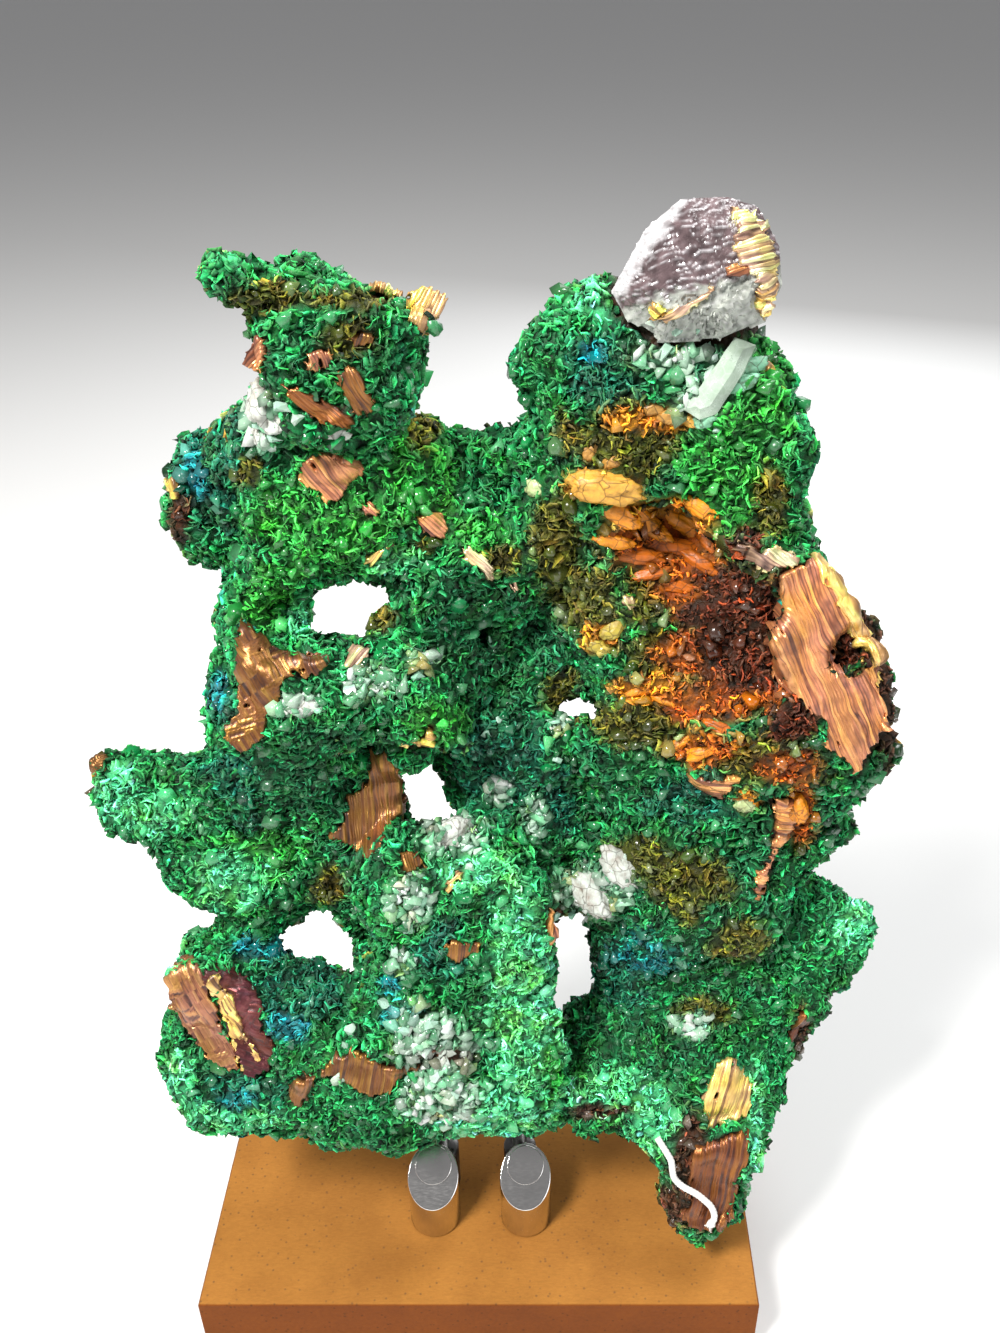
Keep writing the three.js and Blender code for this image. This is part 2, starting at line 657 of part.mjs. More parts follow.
// Materials
const crustLook = new THREE.MeshStandardMaterial({ color: 0x2f8f63, roughness: 0.8, metalness: 0.1 });
const boardLook = new THREE.MeshStandardMaterial({ color: 0xa87836, roughness: 0.9, metalness: 0 });
const steelLook = new THREE.MeshStandardMaterial({ color: 0xb9b6ae, roughness: 0.25, metalness: 1 });
const stringLook = new THREE.MeshStandardMaterial({ color: 0xe9e6df, roughness: 0.9, metalness: 0 });

const group = new THREE.Group();

function addPiece(name, geometry, material) {
  const mesh = new THREE.Mesh(geometry, material);
  mesh.name = name;
  group.add(mesh);
}

const sides = { left: -1, right: 1 };
const rodCutters = [];
for (const [side, sign] of Object.entries(sides)) {
  addPiece(`front_post_${side}`, postGeometry(STAND_MIDDLE + (sign * POST.spacing) / 2), steelLook);
  addPiece(`rear_rod_${side}`, rodGeometry(STAND_MIDDLE + (sign * ROD.spacing) / 2), steelLook);
  rodCutters.push(rodGeometry(STAND_MIDDLE + (sign * ROD.spacing) / 2, TOUCH_GAP));
}
addPiece("base_board", boardGeometry(), boardLook);
addPiece("white_string", stringGeometry(STRING.diameter / 2), stringLook);
const stringCutter = stringGeometry(STRING.diameter / 2 + TOUCH_GAP);
addPiece("copper_specimen", geometryOf(specimenSolid([...rodCutters, stringCutter])), crustLook);

export default group;
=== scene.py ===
"""Dresses a specimen of native copper and its stand: crusts, crystals, bare copper and finishes."""

import math

import bmesh
import bpy
import numpy as np
from mathutils import Matrix, Vector, noise
from mathutils.bvhtree import BVHTree


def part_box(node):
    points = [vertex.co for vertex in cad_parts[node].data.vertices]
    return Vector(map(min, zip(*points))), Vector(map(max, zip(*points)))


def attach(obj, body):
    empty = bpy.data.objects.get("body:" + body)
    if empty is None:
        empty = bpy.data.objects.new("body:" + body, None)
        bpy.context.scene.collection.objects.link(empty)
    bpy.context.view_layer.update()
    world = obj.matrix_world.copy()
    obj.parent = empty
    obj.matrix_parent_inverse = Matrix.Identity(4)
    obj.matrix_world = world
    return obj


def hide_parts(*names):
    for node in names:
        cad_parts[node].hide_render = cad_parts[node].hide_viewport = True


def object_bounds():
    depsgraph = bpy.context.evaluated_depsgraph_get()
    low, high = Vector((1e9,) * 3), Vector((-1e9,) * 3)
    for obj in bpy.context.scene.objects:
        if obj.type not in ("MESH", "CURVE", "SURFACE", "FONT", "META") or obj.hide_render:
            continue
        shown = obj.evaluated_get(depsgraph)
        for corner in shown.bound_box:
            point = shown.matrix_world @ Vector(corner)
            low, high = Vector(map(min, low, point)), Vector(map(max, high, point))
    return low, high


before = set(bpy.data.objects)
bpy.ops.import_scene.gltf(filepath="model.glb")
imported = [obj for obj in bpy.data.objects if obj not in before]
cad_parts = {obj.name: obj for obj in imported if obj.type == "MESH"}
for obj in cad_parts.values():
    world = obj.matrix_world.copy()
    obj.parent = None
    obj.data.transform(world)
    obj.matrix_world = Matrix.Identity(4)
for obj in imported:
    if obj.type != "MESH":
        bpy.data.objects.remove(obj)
CAD_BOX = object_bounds()
noise.seed_set(29)

bl_info = {
    "name": "Native Copper Specimen",
    "version": (1, 0, 0),
    "blender": (4, 5, 0),
    "location": "View3D > Sidebar > Native Copper",
    "description": "Builds the crusts, crystals, bare copper and stand of a native copper specimen",
    "category": "Object",
}

BODY = "root"
MM = 0.001

# The crust's pits and walls, and how far a copper sheet may dip below or rise over its own plane.
WALL_CELL = 3.3 * MM
SHEET_DIP = 3 * MM
SHEET_RISE = 9 * MM

# The large crystal and its plank: how far they stand out, and their bevels.
CRYSTAL_PROUD = 5 * MM
CRYSTAL_BEVEL = 6.5 * MM
PLANK_THICKNESS = 12 * MM
PLANK_PROUD = 4.2 * MM
PLANK_BEVEL = 2 * MM
QUARTZ_IOR = 1.544

# The stand's turned parts.
DISC_HEIGHT = 0.9 * MM
DISC_UPHILL = 3.2 * MM
POST_BEVEL = 0.35 * MM
DISC_BEVEL = 0.22 * MM
ROD_SHOULDER = 18 * MM
ROD_BEVEL = 0.4 * MM
PIN_RADIUS = 2.4 * MM

# The view that the specimen's zones are named in: the front from a little above, in view units.
VIEW_MIDDLE = (546.0, 666.5)
VIEW_FOCAL = 1250.0
VIEW_LONG_SIDE = 1333.0
VIEW_PITCH = math.radians(32.2)
EYE = Vector((0.0204, -0.2672, 0.390))
AHEAD = Vector((0, math.cos(VIEW_PITCH), -math.sin(VIEW_PITCH)))
DOWNWARD = Vector((0, -math.sin(VIEW_PITCH), -math.cos(VIEW_PITCH)))
SENSOR = 36.0


def shade(red, green, blue):
    """A colour given in everyday 0 to 255 values, as Blender's linear ones."""
    parts = [value / 255 for value in (red, green, blue)]
    return tuple(v / 12.92 if v <= 0.04045 else ((v + 0.055) / 1.055) ** 2.4 for v in parts)


# What grows where: each mineral's zones as (across, down, half width, half height) in view units.
ZONES = {
    "bright green": [
        (330, 520, 80, 50), (270, 600, 30, 40), (420, 480, 40, 60), (735, 470, 55, 75),
        (760, 400, 30, 60), (265, 850, 45, 30), (440, 720, 40, 20), (800, 650, 10, 10),
        (530, 1060, 30, 50), (480, 540, 35, 25),
    ],
    "mint": [
        (520, 990, 36, 120), (485, 1110, 70, 26), (150, 812, 42, 24), (120, 790, 26, 26),
        (230, 880, 40, 30), (620, 1092, 62, 26), (660, 1130, 30, 26), (754, 1130, 9, 70),
        (172, 960, 13, 38), (180, 1078, 16, 34), (228, 1112, 50, 16), (605, 300, 26, 20),
        (470, 870, 40, 22), (300, 620, 20, 20), (390, 560, 30, 12), (858, 925, 24, 30),
        (560, 1010, 8, 60),
    ],
    "teal": [
        (208, 478, 34, 62), (245, 425, 30, 18), (222, 695, 15, 34), (235, 772, 40, 24),
        (250, 805, 20, 30), (600, 372, 44, 34), (640, 305, 30, 24), (500, 760, 45, 60),
        (560, 800, 30, 40), (690, 800, 46, 26), (300, 985, 50, 34), (240, 1092, 50, 20),
        (620, 960, 60, 50), (440, 950, 30, 30), (575, 440, 24, 24),
    ],
    "blue": [
        (262, 948, 30, 14), (288, 1026, 22, 14), (405, 1016, 26, 12), (655, 948, 40, 24),
        (220, 690, 9, 24), (196, 470, 12, 26), (238, 1098, 22, 9), (592, 352, 14, 12),
        (390, 985, 12, 12),
    ],
    # Set-back parts: a darker green, partly the crust's own and partly painted shade.
    "deep green": [
        (505, 660, 50, 70), (560, 640, 40, 60), (470, 620, 40, 50), (300, 790, 50, 40),
        (595, 780, 26, 70), (580, 900, 26, 60), (700, 900, 70, 70), (640, 1040, 60, 30),
        (330, 745, 60, 14), (405, 600, 20, 20), (350, 860, 30, 30), (800, 800, 40, 40),
    ],
    "olive": [
        (622, 442, 62, 40), (556, 545, 30, 56), (590, 600, 34, 36), (642, 590, 22, 46),
        (690, 880, 46, 36), (345, 300, 46, 9), (380, 620, 16, 12), (640, 720, 50, 30),
        (770, 760, 60, 24), (330, 885, 20, 20), (425, 545, 12, 9), (700, 1010, 30, 20),
        (770, 500, 18, 40), (250, 470, 12, 18), (505, 560, 22, 14), (652, 655, 28, 30),
        (735, 760, 30, 14), (270, 300, 34, 16), (350, 340, 30, 20), (640, 860, 36, 24),
        (740, 940, 30, 20), (560, 690, 20, 20), (420, 430, 16, 22),
    ],
    "ochre": [
        (655, 418, 46, 13), (600, 485, 36, 17), (660, 520, 50, 22), (600, 640, 20, 14),
        (650, 690, 40, 16), (705, 745, 36, 14), (800, 800, 14, 16), (748, 800, 12, 10),
    ],
    "rust": [
        (665, 545, 60, 28), (700, 590, 50, 34), (695, 655, 42, 26), (715, 700, 50, 24),
        (706, 748, 32, 15), (790, 765, 34, 18), (800, 815, 14, 32), (775, 690, 26, 30),
    ],
    "dark rust": [
        (742, 608, 48, 50), (852, 652, 22, 27), (755, 660, 40, 40), (725, 640, 40, 40),
        (790, 720, 26, 24), (745, 545, 18, 16), (700, 614, 24, 18),
    ],
    "cloudy white": [
        (262, 420, 16, 34), (298, 704, 26, 12), (370, 684, 34, 18), (420, 662, 20, 14),
        (452, 834, 30, 20), (410, 900, 22, 26), (400, 965, 12, 14), (430, 1040, 44, 36),
        (440, 1095, 40, 30), (592, 888, 40, 24), (535, 815, 12, 22), (500, 790, 16, 16),
        (672, 350, 50, 24), (700, 395, 24, 26), (688, 1026, 20, 14), (560, 725, 12, 9),
        (340, 1070, 12, 10), (635, 285, 20, 26), (750, 330, 16, 12),
    ],
    "bare brown": [
        (690, 1170, 22, 70), (884, 690, 14, 90), (868, 600, 12, 50), (600, 1110, 30, 9),
        (800, 1030, 9, 30), (180, 520, 12, 24), (558, 925, 6, 22), (672, 1205, 10, 30),
        (445, 1055, 30, 9),
    ],
}
ZONE_RAGGED = 0.42
ZONE_EDGE = (1.25, 0.7)
ZONE_GRAIN = 7 * MM

# Sheets of bare copper: outline in view units, the grooves' direction in degrees below level, and finish.
SHEETS = {
    "head_flag": {
        "outline": [(408, 290), (430, 284), (450, 296), (441, 316), (424, 336), (410, 326), (406, 308)],
        "grooves": 115, "finish": "gold",
    },
    "head_tan_bits": {
        "outline": [(366, 290), (382, 286), (404, 291), (402, 303), (386, 306), (368, 304)],
        "grooves": 95, "finish": "gold",
    },
    "head_bronze": {
        "outline": [(346, 334), (356, 329), (372, 330), (378, 338), (370, 348), (354, 349)],
        "grooves": 100, "finish": "brown",
    },
    "head_left_edge": {
        "outline": [(258, 333), (270, 337), (271, 350), (268, 362), (260, 376), (245, 368), (243, 358),
                    (250, 346)],
        "grooves": 120, "finish": "rose",
    },
    "head_rose": {
        "outline": [(306, 352), (322, 346), (334, 352), (330, 368), (318, 374), (304, 370)],
        "grooves": 70, "finish": "rose",
    },
    "head_grooved": {
        "outline": [(337, 370), (350, 364), (360, 370), (368, 385), (376, 402), (374, 416), (356, 416),
                    (345, 398), (335, 382)],
        "grooves": 62, "finish": "brown",
    },
    "head_dark": {
        "outline": [(280, 383), (300, 386), (320, 398), (342, 408), (360, 420), (346, 429), (322, 424),
                    (298, 408)],
        "grooves": 38, "finish": "dark",
    },
    "shoulder_rose": {
        "outline": [(300, 474), (306, 458), (320, 449), (350, 451), (362, 462), (368, 472), (354, 482),
                    (342, 501), (325, 505), (316, 490), (298, 486)],
        "grooves": 52, "finish": "rose",
    },
    "shoulder_bit": {
        "outline": [(358, 506), (368, 500), (381, 508), (380, 517), (366, 518)],
        "grooves": 40, "finish": "rose",
    },
    "notch_rose": {
        "outline": [(413, 515), (430, 511), (444, 514), (449, 526), (446, 541), (432, 537), (419, 530)],
        "grooves": 42, "finish": "rose",
    },
    "arm_tan": {
        "outline": [(362, 558), (376, 548), (393, 538), (386, 553), (374, 565), (363, 566)],
        "grooves": 120, "finish": "gold",
    },
    "shoulder_gold": {
        "outline": [(164, 480), (172, 474), (183, 478), (185, 492), (178, 504), (169, 498)],
        "grooves": 80, "finish": "gold",
    },
    "bridge_splash": {
        "outline": [(458, 547), (470, 544), (482, 553), (490, 562), (500, 583), (488, 582), (478, 569),
                    (462, 561)],
        "grooves": 40, "finish": "pale",
    },
    "bridge_bit": {
        "outline": [(507, 578), (516, 576), (522, 590), (513, 594)],
        "grooves": 60, "finish": "pale",
    },
    "neck_bit": {
        "outline": [(618, 596), (628, 594), (638, 604), (632, 612), (621, 606)],
        "grooves": 50, "finish": "pale",
    },
    "left_block": {
        "outline": [(237, 617), (248, 625), (265, 642), (285, 651), (300, 655), (318, 651), (330, 660),
                    (320, 675), (306, 677), (295, 673), (284, 682), (280, 702), (268, 716), (265, 736),
                    (250, 750), (240, 756), (222, 740), (222, 726), (236, 712), (236, 680), (238, 650)],
        "grooves": 58, "finish": "brown", "woven": True,
    },
    "left_leaf": {
        "outline": [(338, 674), (346, 662), (352, 645), (364, 641), (374, 653), (364, 664), (352, 670)],
        "grooves": 130, "finish": "pale",
    },
    "centre": {
        "outline": [(372, 742), (384, 744), (399, 760), (402, 776), (404, 796), (408, 808), (402, 818),
                    (392, 824), (386, 842), (376, 857), (364, 859), (348, 850), (328, 841), (329, 829),
                    (342, 822), (346, 806), (344, 794), (360, 788), (370, 772)],
        "grooves": 86, "finish": "brown",
    },
    "centre_hook": {
        "outline": [(384, 744), (404, 744), (420, 736), (428, 722), (436, 724), (438, 738), (424, 750),
                    (402, 752)],
        "grooves": 10, "finish": "gold",
    },
    "centre_leaf": {
        "outline": [(397, 852), (408, 846), (418, 852), (430, 871), (416, 870), (404, 875), (400, 862)],
        "grooves": 80, "finish": "brown",
    },
    "leaf_sliver": {
        "outline": [(440, 892), (447, 880), (460, 868), (467, 872), (458, 884), (446, 895)],
        "grooves": 140, "finish": "gold",
    },
    "leaf_brown": {
        "outline": [(441, 942), (455, 938), (482, 940), (478, 955), (466, 958), (458, 968), (446, 956)],
        "grooves": 96, "finish": "brown",
    },
    "egg_fibrous": {
        "outline": [(166, 980), (174, 963), (188, 958), (202, 962), (212, 978), (216, 1000), (222, 1026),
                    (232, 1050), (240, 1074), (222, 1074), (204, 1060), (186, 1036), (170, 1012)],
        "grooves": 60, "finish": "mottled", "woven": True,
    },
    "egg_dark": {
        "outline": [(206, 966), (222, 963), (240, 972), (252, 984), (262, 1002), (264, 1026),
                    (277, 1044), (276, 1060), (264, 1077), (246, 1082), (236, 1062), (228, 1036),
                    (220, 1010), (212, 988)],
        "grooves": 20, "finish": "purple", "woven": True,
    },
    "egg_braid": {
        "outline": [(208, 970), (220, 968), (226, 984), (236, 992), (244, 1012), (246, 1034),
                    (258, 1044), (262, 1060), (252, 1074), (240, 1074), (232, 1056), (228, 1030),
                    (222, 1010), (214, 990)],
        "grooves": 50, "finish": "gold", "woven": True, "over": 0.8 * MM,
    },
    "egg_hook_end": {
        "outline": [(287, 1086), (298, 1074), (316, 1069), (316, 1082), (306, 1100), (298, 1111),
                    (288, 1104)],
        "grooves": 110, "finish": "brown",
    },
    "egg_hook": {
        "outline": [(320, 1068), (336, 1055), (358, 1044), (370, 1054), (392, 1065), (428, 1058),
                    (416, 1071), (400, 1080), (391, 1095), (372, 1100), (354, 1090), (338, 1078),
                    (322, 1078)],
        "grooves": 100, "finish": "brown",
    },
    "plate_upper": {
        "outline": [(727, 525), (742, 545), (757, 552), (775, 541), (790, 553), (803, 552), (800, 566),
                    (780, 568), (762, 574), (748, 562), (734, 548)],
        "grooves": 28, "finish": "pale",
    },
    "plate_right": {
        "outline": [(772, 572), (790, 564), (812, 553), (834, 573), (845, 598), (860, 622), (876, 645),
                    (884, 668), (880, 690), (887, 706), (890, 733), (876, 752), (860, 780), (848, 764),
                    (824, 748), (828, 722), (812, 714), (800, 700), (784, 690), (772, 676), (776, 655),
                    (766, 640), (768, 626), (778, 606)],
        "grooves": 66, "finish": "rose", "pit": (852, 652, 17, 22), "clear": 0.98, "steep": True,
    },
    "plate_rim": {
        "outline": [(806, 552), (830, 562), (846, 590), (862, 616), (882, 648), (884, 690), (876, 690),
                    (866, 656), (846, 624), (828, 590), (812, 572)],
        "grooves": 58, "finish": "gold", "over": 0.9 * MM,
    },
    "waist_pink": {
        "outline": [(684, 770), (700, 772), (744, 772), (736, 786), (722, 804), (710, 800), (696, 788)],
        "grooves": 12, "finish": "rose",
    },
    "waist_strip": {
        "outline": [(765, 780), (785, 790), (800, 792), (798, 815), (788, 842), (780, 850), (774, 872),
                    (766, 892), (760, 910), (752, 900), (753, 880), (768, 858), (771, 838), (772, 812)],
        "grooves": 14, "finish": "rose",
    },
    "leg_gold": {
        "outline": [(717, 1058), (730, 1055), (744, 1070), (756, 1087), (753, 1104), (748, 1120),
                    (724, 1127), (710, 1135), (703, 1116), (701, 1097), (707, 1084), (712, 1066)],
        "grooves": 104, "finish": "gold",
    },
    "leg_brown": {
        "outline": [(694, 1138), (710, 1133), (746, 1122), (746, 1156), (738, 1172), (736, 1200),
                    (734, 1216), (722, 1230), (702, 1238), (684, 1230), (676, 1218), (690, 1208),
                    (688, 1186), (688, 1160)],
        "grooves": 98, "finish": "dark",
    },
    "crystal_rim": {
        "outline": [(736, 204), (755, 208), (768, 222), (777, 242), (782, 262), (781, 288), (772, 312),
                    (762, 318), (758, 300), (752, 280), (738, 266), (730, 252), (734, 230)],
        "grooves": -12, "finish": "pale",
    },
    "crystal_foot": {
        "outline": [(756, 286), (774, 282), (780, 292), (772, 314), (760, 318), (752, 306)],
        "grooves": -16, "finish": "gold",
    },
    "crystal_wire_long": {
        "outline": [(656, 318), (676, 306), (692, 301), (712, 284), (718, 286), (700, 306), (680, 314),
                    (664, 324)],
        "grooves": -30, "finish": "pale",
    },
    "crystal_wire_low": {
        "outline": [(646, 306), (660, 300), (668, 308), (660, 320), (648, 322), (652, 312)],
        "grooves": 40, "finish": "gold",
    },
    "crystal_wire_side": {
        "outline": [(722, 268), (740, 262), (752, 270), (748, 278), (732, 276), (724, 280)],
        "grooves": -20, "finish": "rose",
    },
    "wing_fleck": {
        "outline": [(760, 362), (772, 361), (774, 375), (763, 377)],
        "grooves": 90, "finish": "gold",
    },
    "edge_brown": {
        "outline": [(796, 1008), (806, 1004), (810, 1014), (800, 1034), (788, 1050), (786, 1036)],
        "grooves": 120, "finish": "dark",
    },
    "leaf_edge": {
        "outline": [(546, 906), (555, 908), (557, 940), (548, 948), (544, 926)],
        "grooves": 80, "finish": "rose",
    },
}

# Smooth lumps: place and half sizes in view units, turn in degrees below level, and colour.
LUMPS = [
    (602, 487, 38, 15, -12, "ochre"), (618, 512, 30, 11, -34, "amber"), (644, 520, 36, 10, -40, "amber"),
    (684, 520, 34, 13, -34, "amber"), (700, 508, 20, 9, -24, "amber"), (614, 541, 22, 8, -22, "amber"),
    (666, 545, 40, 9, -16, "rusty"), (706, 538, 18, 8, -30, "rusty"), (640, 556, 26, 8, -10, "rusty"),
    (672, 416, 14, 9, 20, "tan"), (652, 408, 12, 8, 0, "tan"), (692, 420, 10, 8, 0, "ochre"),
    (590, 452, 12, 8, 60, "tan"), (612, 462, 10, 7, 30, "tan"), (537, 488, 13, 10, 0, "pale"),
    (597, 646, 14, 7, -20, "lemon"), (612, 630, 14, 8, 30, "lemon"), (745, 803, 12, 9, 0, "pale"),
    (700, 562, 22, 7, -30, "rusty"), (650, 574, 20, 6, 12, "rusty"), (676, 586, 22, 6, -8, "rusty"),
    (796, 806, 11, 16, 10, "amber"), (702, 752, 18, 7, 30, "amber"), (680, 742, 16, 6, 40, "amber"),
    (264, 404, 15, 23, 14, "white"), (284, 420, 24, 12, 28, "white"), (264, 436, 10, 13, 20, "white"),
    (300, 704, 24, 11, -12, "white"), (618, 866, 24, 15, -52, "white"), (592, 896, 26, 14, -50, "white"),
    (450, 834, 22, 13, 24, "white"), (336, 434, 14, 7, -18, "white"), (748, 368, 24, 9, 6, "greenish"),
    (742, 384, 16, 8, 20, "greenish"), (258, 448, 9, 7, 0, "greenish"), (706, 418, 14, 9, 30, "greenish"),
    (720, 728, 18, 6, -20, "rusty"), (640, 690, 16, 6, 20, "amber"), (664, 700, 15, 5, -10, "amber"),
]

# Large cloudy crystals: place and size in view units.
BOULDERS = [
    (262, 400, 17), (266, 424, 18), (276, 436, 13), (284, 406, 15), (298, 418, 12), (318, 432, 9),
    (286, 704, 12), (302, 700, 13), (318, 698, 9), (350, 690, 12), (366, 680, 12), (384, 684, 11),
    (400, 690, 11), (418, 676, 12), (412, 656, 10), (430, 664, 9), (446, 832, 16), (462, 842, 13),
    (432, 846, 10), (478, 852, 9), (470, 868, 9), (400, 888, 12), (418, 892, 11), (430, 906, 12),
    (388, 908, 11), (408, 926, 12), (396, 950, 11), (414, 960, 10), (386, 1000, 12), (404, 1030, 13),
    (430, 1024, 13), (446, 1040, 13), (424, 1050, 13), (412, 1078, 12), (436, 1074, 13), (452, 1092, 12),
    (424, 1102, 14), (442, 1118, 10), (352, 1030, 11), (346, 1048, 10), (610, 868, 14), (620, 858, 13),
    (600, 884, 13), (592, 902, 13), (578, 918, 11), (566, 926, 9), (628, 880, 10), (538, 812, 12),
    (534, 826, 10), (500, 786, 11), (512, 798, 8), (688, 1024, 12), (700, 1032, 8), (640, 286, 11),
    (634, 304, 12), (655, 322, 13), (676, 330, 12), (700, 326, 12), (726, 318, 13), (742, 306, 11),
    (664, 352, 14), (686, 356, 12), (650, 366, 10), (708, 348, 11), (736, 346, 9), (724, 360, 9),
    (730, 376, 8), (752, 372, 8), (716, 430, 7), (560, 726, 9), (576, 716, 8), (492, 640, 7),
    (340, 1072, 7), (500, 720, 8), (486, 735, 9), (470, 748, 8), (556, 760, 8), (590, 700, 7),
]

# The large striated crystal at the top right, and the pale plank below it.
TOP_CRYSTAL = [
    (615, 290), (648, 230), (682, 201), (728, 199), (757, 209), (777, 246), (780, 284), (764, 320),
    (722, 338), (660, 340), (632, 322),
]
PLANK = [(735, 338), (756, 346), (742, 376), (717, 414), (700, 420), (684, 410), (712, 372)]

# The string's route, in metres, from the crevice where it is tucked in to its loose end.
STRING_ROUTE = [
    (0.053, -0.031, 0.0782), (0.0544, -0.0325, 0.0766), (0.0558, -0.0338, 0.0748),
    (0.057, -0.0349, 0.0729), (0.0574, -0.0359, 0.0704), (0.0579, -0.0367, 0.0679),
    (0.0592, -0.0373, 0.0661), (0.061, -0.0383, 0.0652), (0.0632, -0.0392, 0.0646),
    (0.0652, -0.0398, 0.0635), (0.0672, -0.0405, 0.0619), (0.0688, -0.041, 0.0602),
    (0.0698, -0.0415, 0.0579), (0.07, -0.0419, 0.0556), (0.0692, -0.0422, 0.0535),
]
STRING_DIAMETER = 2 * MM


class CrustSettings(bpy.types.PropertyGroup):
    """Sizes and colours of the mineral crust."""

    voxel: bpy.props.FloatProperty(
        name="Grid", description="Size of the crust's mesh cells",
        default=1.46 * MM, min=0.6 * MM, unit="LENGTH",
    )
    lump: bpy.props.FloatProperty(
        name="Lump height", description="Height of the large lumps", default=3.0 * MM, unit="LENGTH"
    )
    inset: bpy.props.FloatProperty(
        name="Inset", description="Room left below the leaflets", default=1.1 * MM, unit="LENGTH"
    )
    cell: bpy.props.FloatProperty(
        name="Cell height", description="Height of the small walls between pits",
        default=0.9 * MM, unit="LENGTH",
    )
    malachite: bpy.props.FloatVectorProperty(
        name="Malachite", description="Main green of the crust",
        subtype="COLOR", default=shade(20, 128, 68),
    )
    bright_green: bpy.props.FloatVectorProperty(
        name="Bright green", description="Fresh green crust", subtype="COLOR", default=shade(40, 154, 56)
    )
    mint: bpy.props.FloatVectorProperty(
        name="Mint", description="Pale bluish green crust", subtype="COLOR", default=shade(84, 214, 142)
    )
    teal: bpy.props.FloatVectorProperty(
        name="Teal", description="Blue-green crust", subtype="COLOR", default=shade(8, 100, 74)
    )
    blue: bpy.props.FloatVectorProperty(
        name="Blue", description="Blue crust", subtype="COLOR", default=shade(8, 126, 134)
    )
    # A darker green for the set-back parts, partly the crust's own colour and partly painted shade.
    deep_green: bpy.props.FloatVectorProperty(
        name="Green with painted shade", description="Crust in the set-back parts",
        subtype="COLOR", default=shade(14, 108, 60),
    )
    olive: bpy.props.FloatVectorProperty(
        name="Olive", description="Mossy brownish green crust", subtype="COLOR", default=shade(84, 90, 18)
    )
    ochre: bpy.props.FloatVectorProperty(
        name="Ochre", description="Yellow iron crust", subtype="COLOR", default=shade(200, 134, 24)
    )
    rust: bpy.props.FloatVectorProperty(
        name="Rust", description="Orange-brown iron crust", subtype="COLOR", default=shade(176, 92, 10)
    )
    dark_rust: bpy.props.FloatVectorProperty(
        name="Dark rust", description="Red-brown floor of the hollow",
        subtype="COLOR", default=shade(84, 32, 6),
    )
    cloudy_white: bpy.props.FloatVectorProperty(
        name="Cloudy white", description="Crust with quartz in it",
        subtype="COLOR", default=shade(104, 168, 128),
    )
    bare_brown: bpy.props.FloatVectorProperty(
        name="Bare brown", description="Tarnished copper under the crust",
        subtype="COLOR", default=shade(70, 40, 24),
    )


class LeafletSettings(bpy.types.PropertyGroup):
    """Sizes of the small curled crystals that stand on the crust."""

    count: bpy.props.IntProperty(
        name="Leaflets", description="How many curled crystals each piece holds", default=9400, min=10
    )
    pieces: bpy.props.IntProperty(
        name="Pieces", description="How many pieces they are joined in", default=4, min=1
    )
    length: bpy.props.FloatProperty(
        name="Length", description="Usual length of a leaflet", default=2.7 * MM, unit="LENGTH"
    )
    width: bpy.props.FloatProperty(
        name="Width", description="Usual height of a leaflet above the crust",
        default=1.85 * MM, unit="LENGTH",
    )
    thickness: bpy.props.FloatProperty(
        name="Thickness", description="Usual thickness of a leaflet", default=0.92 * MM, unit="LENGTH"
    )
    grains: bpy.props.IntProperty(
        name="Grains", description="How many small blocky crystals lie between them", default=3000, min=10
    )
    grain_size: bpy.props.FloatProperty(
        name="Grain size", description="Usual size of a blocky crystal", default=3.7 * MM, unit="LENGTH"
    )


class CopperSettings(bpy.types.PropertyGroup):
    """Sizes and colours of the bare copper sheets."""

    pitch: bpy.props.FloatProperty(
        name="Groove pitch", description="Distance between two grooves", default=0.84 * MM, unit="LENGTH"
    )
    depth: bpy.props.FloatProperty(
        name="Groove depth", description="Depth of a groove", default=0.42 * MM, unit="LENGTH"
    )
    thickness: bpy.props.FloatProperty(
        name="Thickness", description="Thickness of a sheet", default=1.6 * MM, unit="LENGTH"
    )
    lift: bpy.props.FloatProperty(
        name="Lift", description="How far a sheet stands over the crust's body",
        default=1.2 * MM, unit="LENGTH",
    )
    rose: bpy.props.FloatVectorProperty(
        name="Rose", description="Rose-brown copper", subtype="COLOR", default=shade(224, 160, 112)
    )
    brown: bpy.props.FloatVectorProperty(
        name="Brown", description="Brown copper", subtype="COLOR", default=shade(146, 104, 60)
    )
    dark: bpy.props.FloatVectorProperty(
        name="Dark", description="Dark tarnished copper", subtype="COLOR", default=shade(138, 86, 50)
    )
    gold: bpy.props.FloatVectorProperty(
        name="Gold", description="Bright golden copper", subtype="COLOR", default=shade(255, 222, 142)
    )
    pale: bpy.props.FloatVectorProperty(
        name="Pale", description="Pale gold copper", subtype="COLOR", default=shade(255, 234, 184)
    )
    purple: bpy.props.FloatVectorProperty(
        name="Purple", description="Dark purple-brown copper", subtype="COLOR", default=shade(104, 56, 60)
    )
    mottled: bpy.props.FloatVectorProperty(
        name="Mottled", description="Fibrous copper with reddish spots",
        subtype="COLOR", default=shade(176, 128, 96),
    )


class QuartzSettings(bpy.types.PropertyGroup):
    """Colours of the quartz."""

    cloudy: bpy.props.FloatVectorProperty(
        name="Cloudy", description="Milky quartz", subtype="COLOR", default=shade(206, 214, 204)
    )
    smoky: bpy.props.FloatVectorProperty(
        name="Smoky", description="The large crystal's grey-purple",
        subtype="COLOR", default=shade(96, 80, 82),
    )
    thickness: bpy.props.FloatProperty(
        name="Thickness", description="Thickness of the large crystal", default=26 * MM, unit="LENGTH"
    )


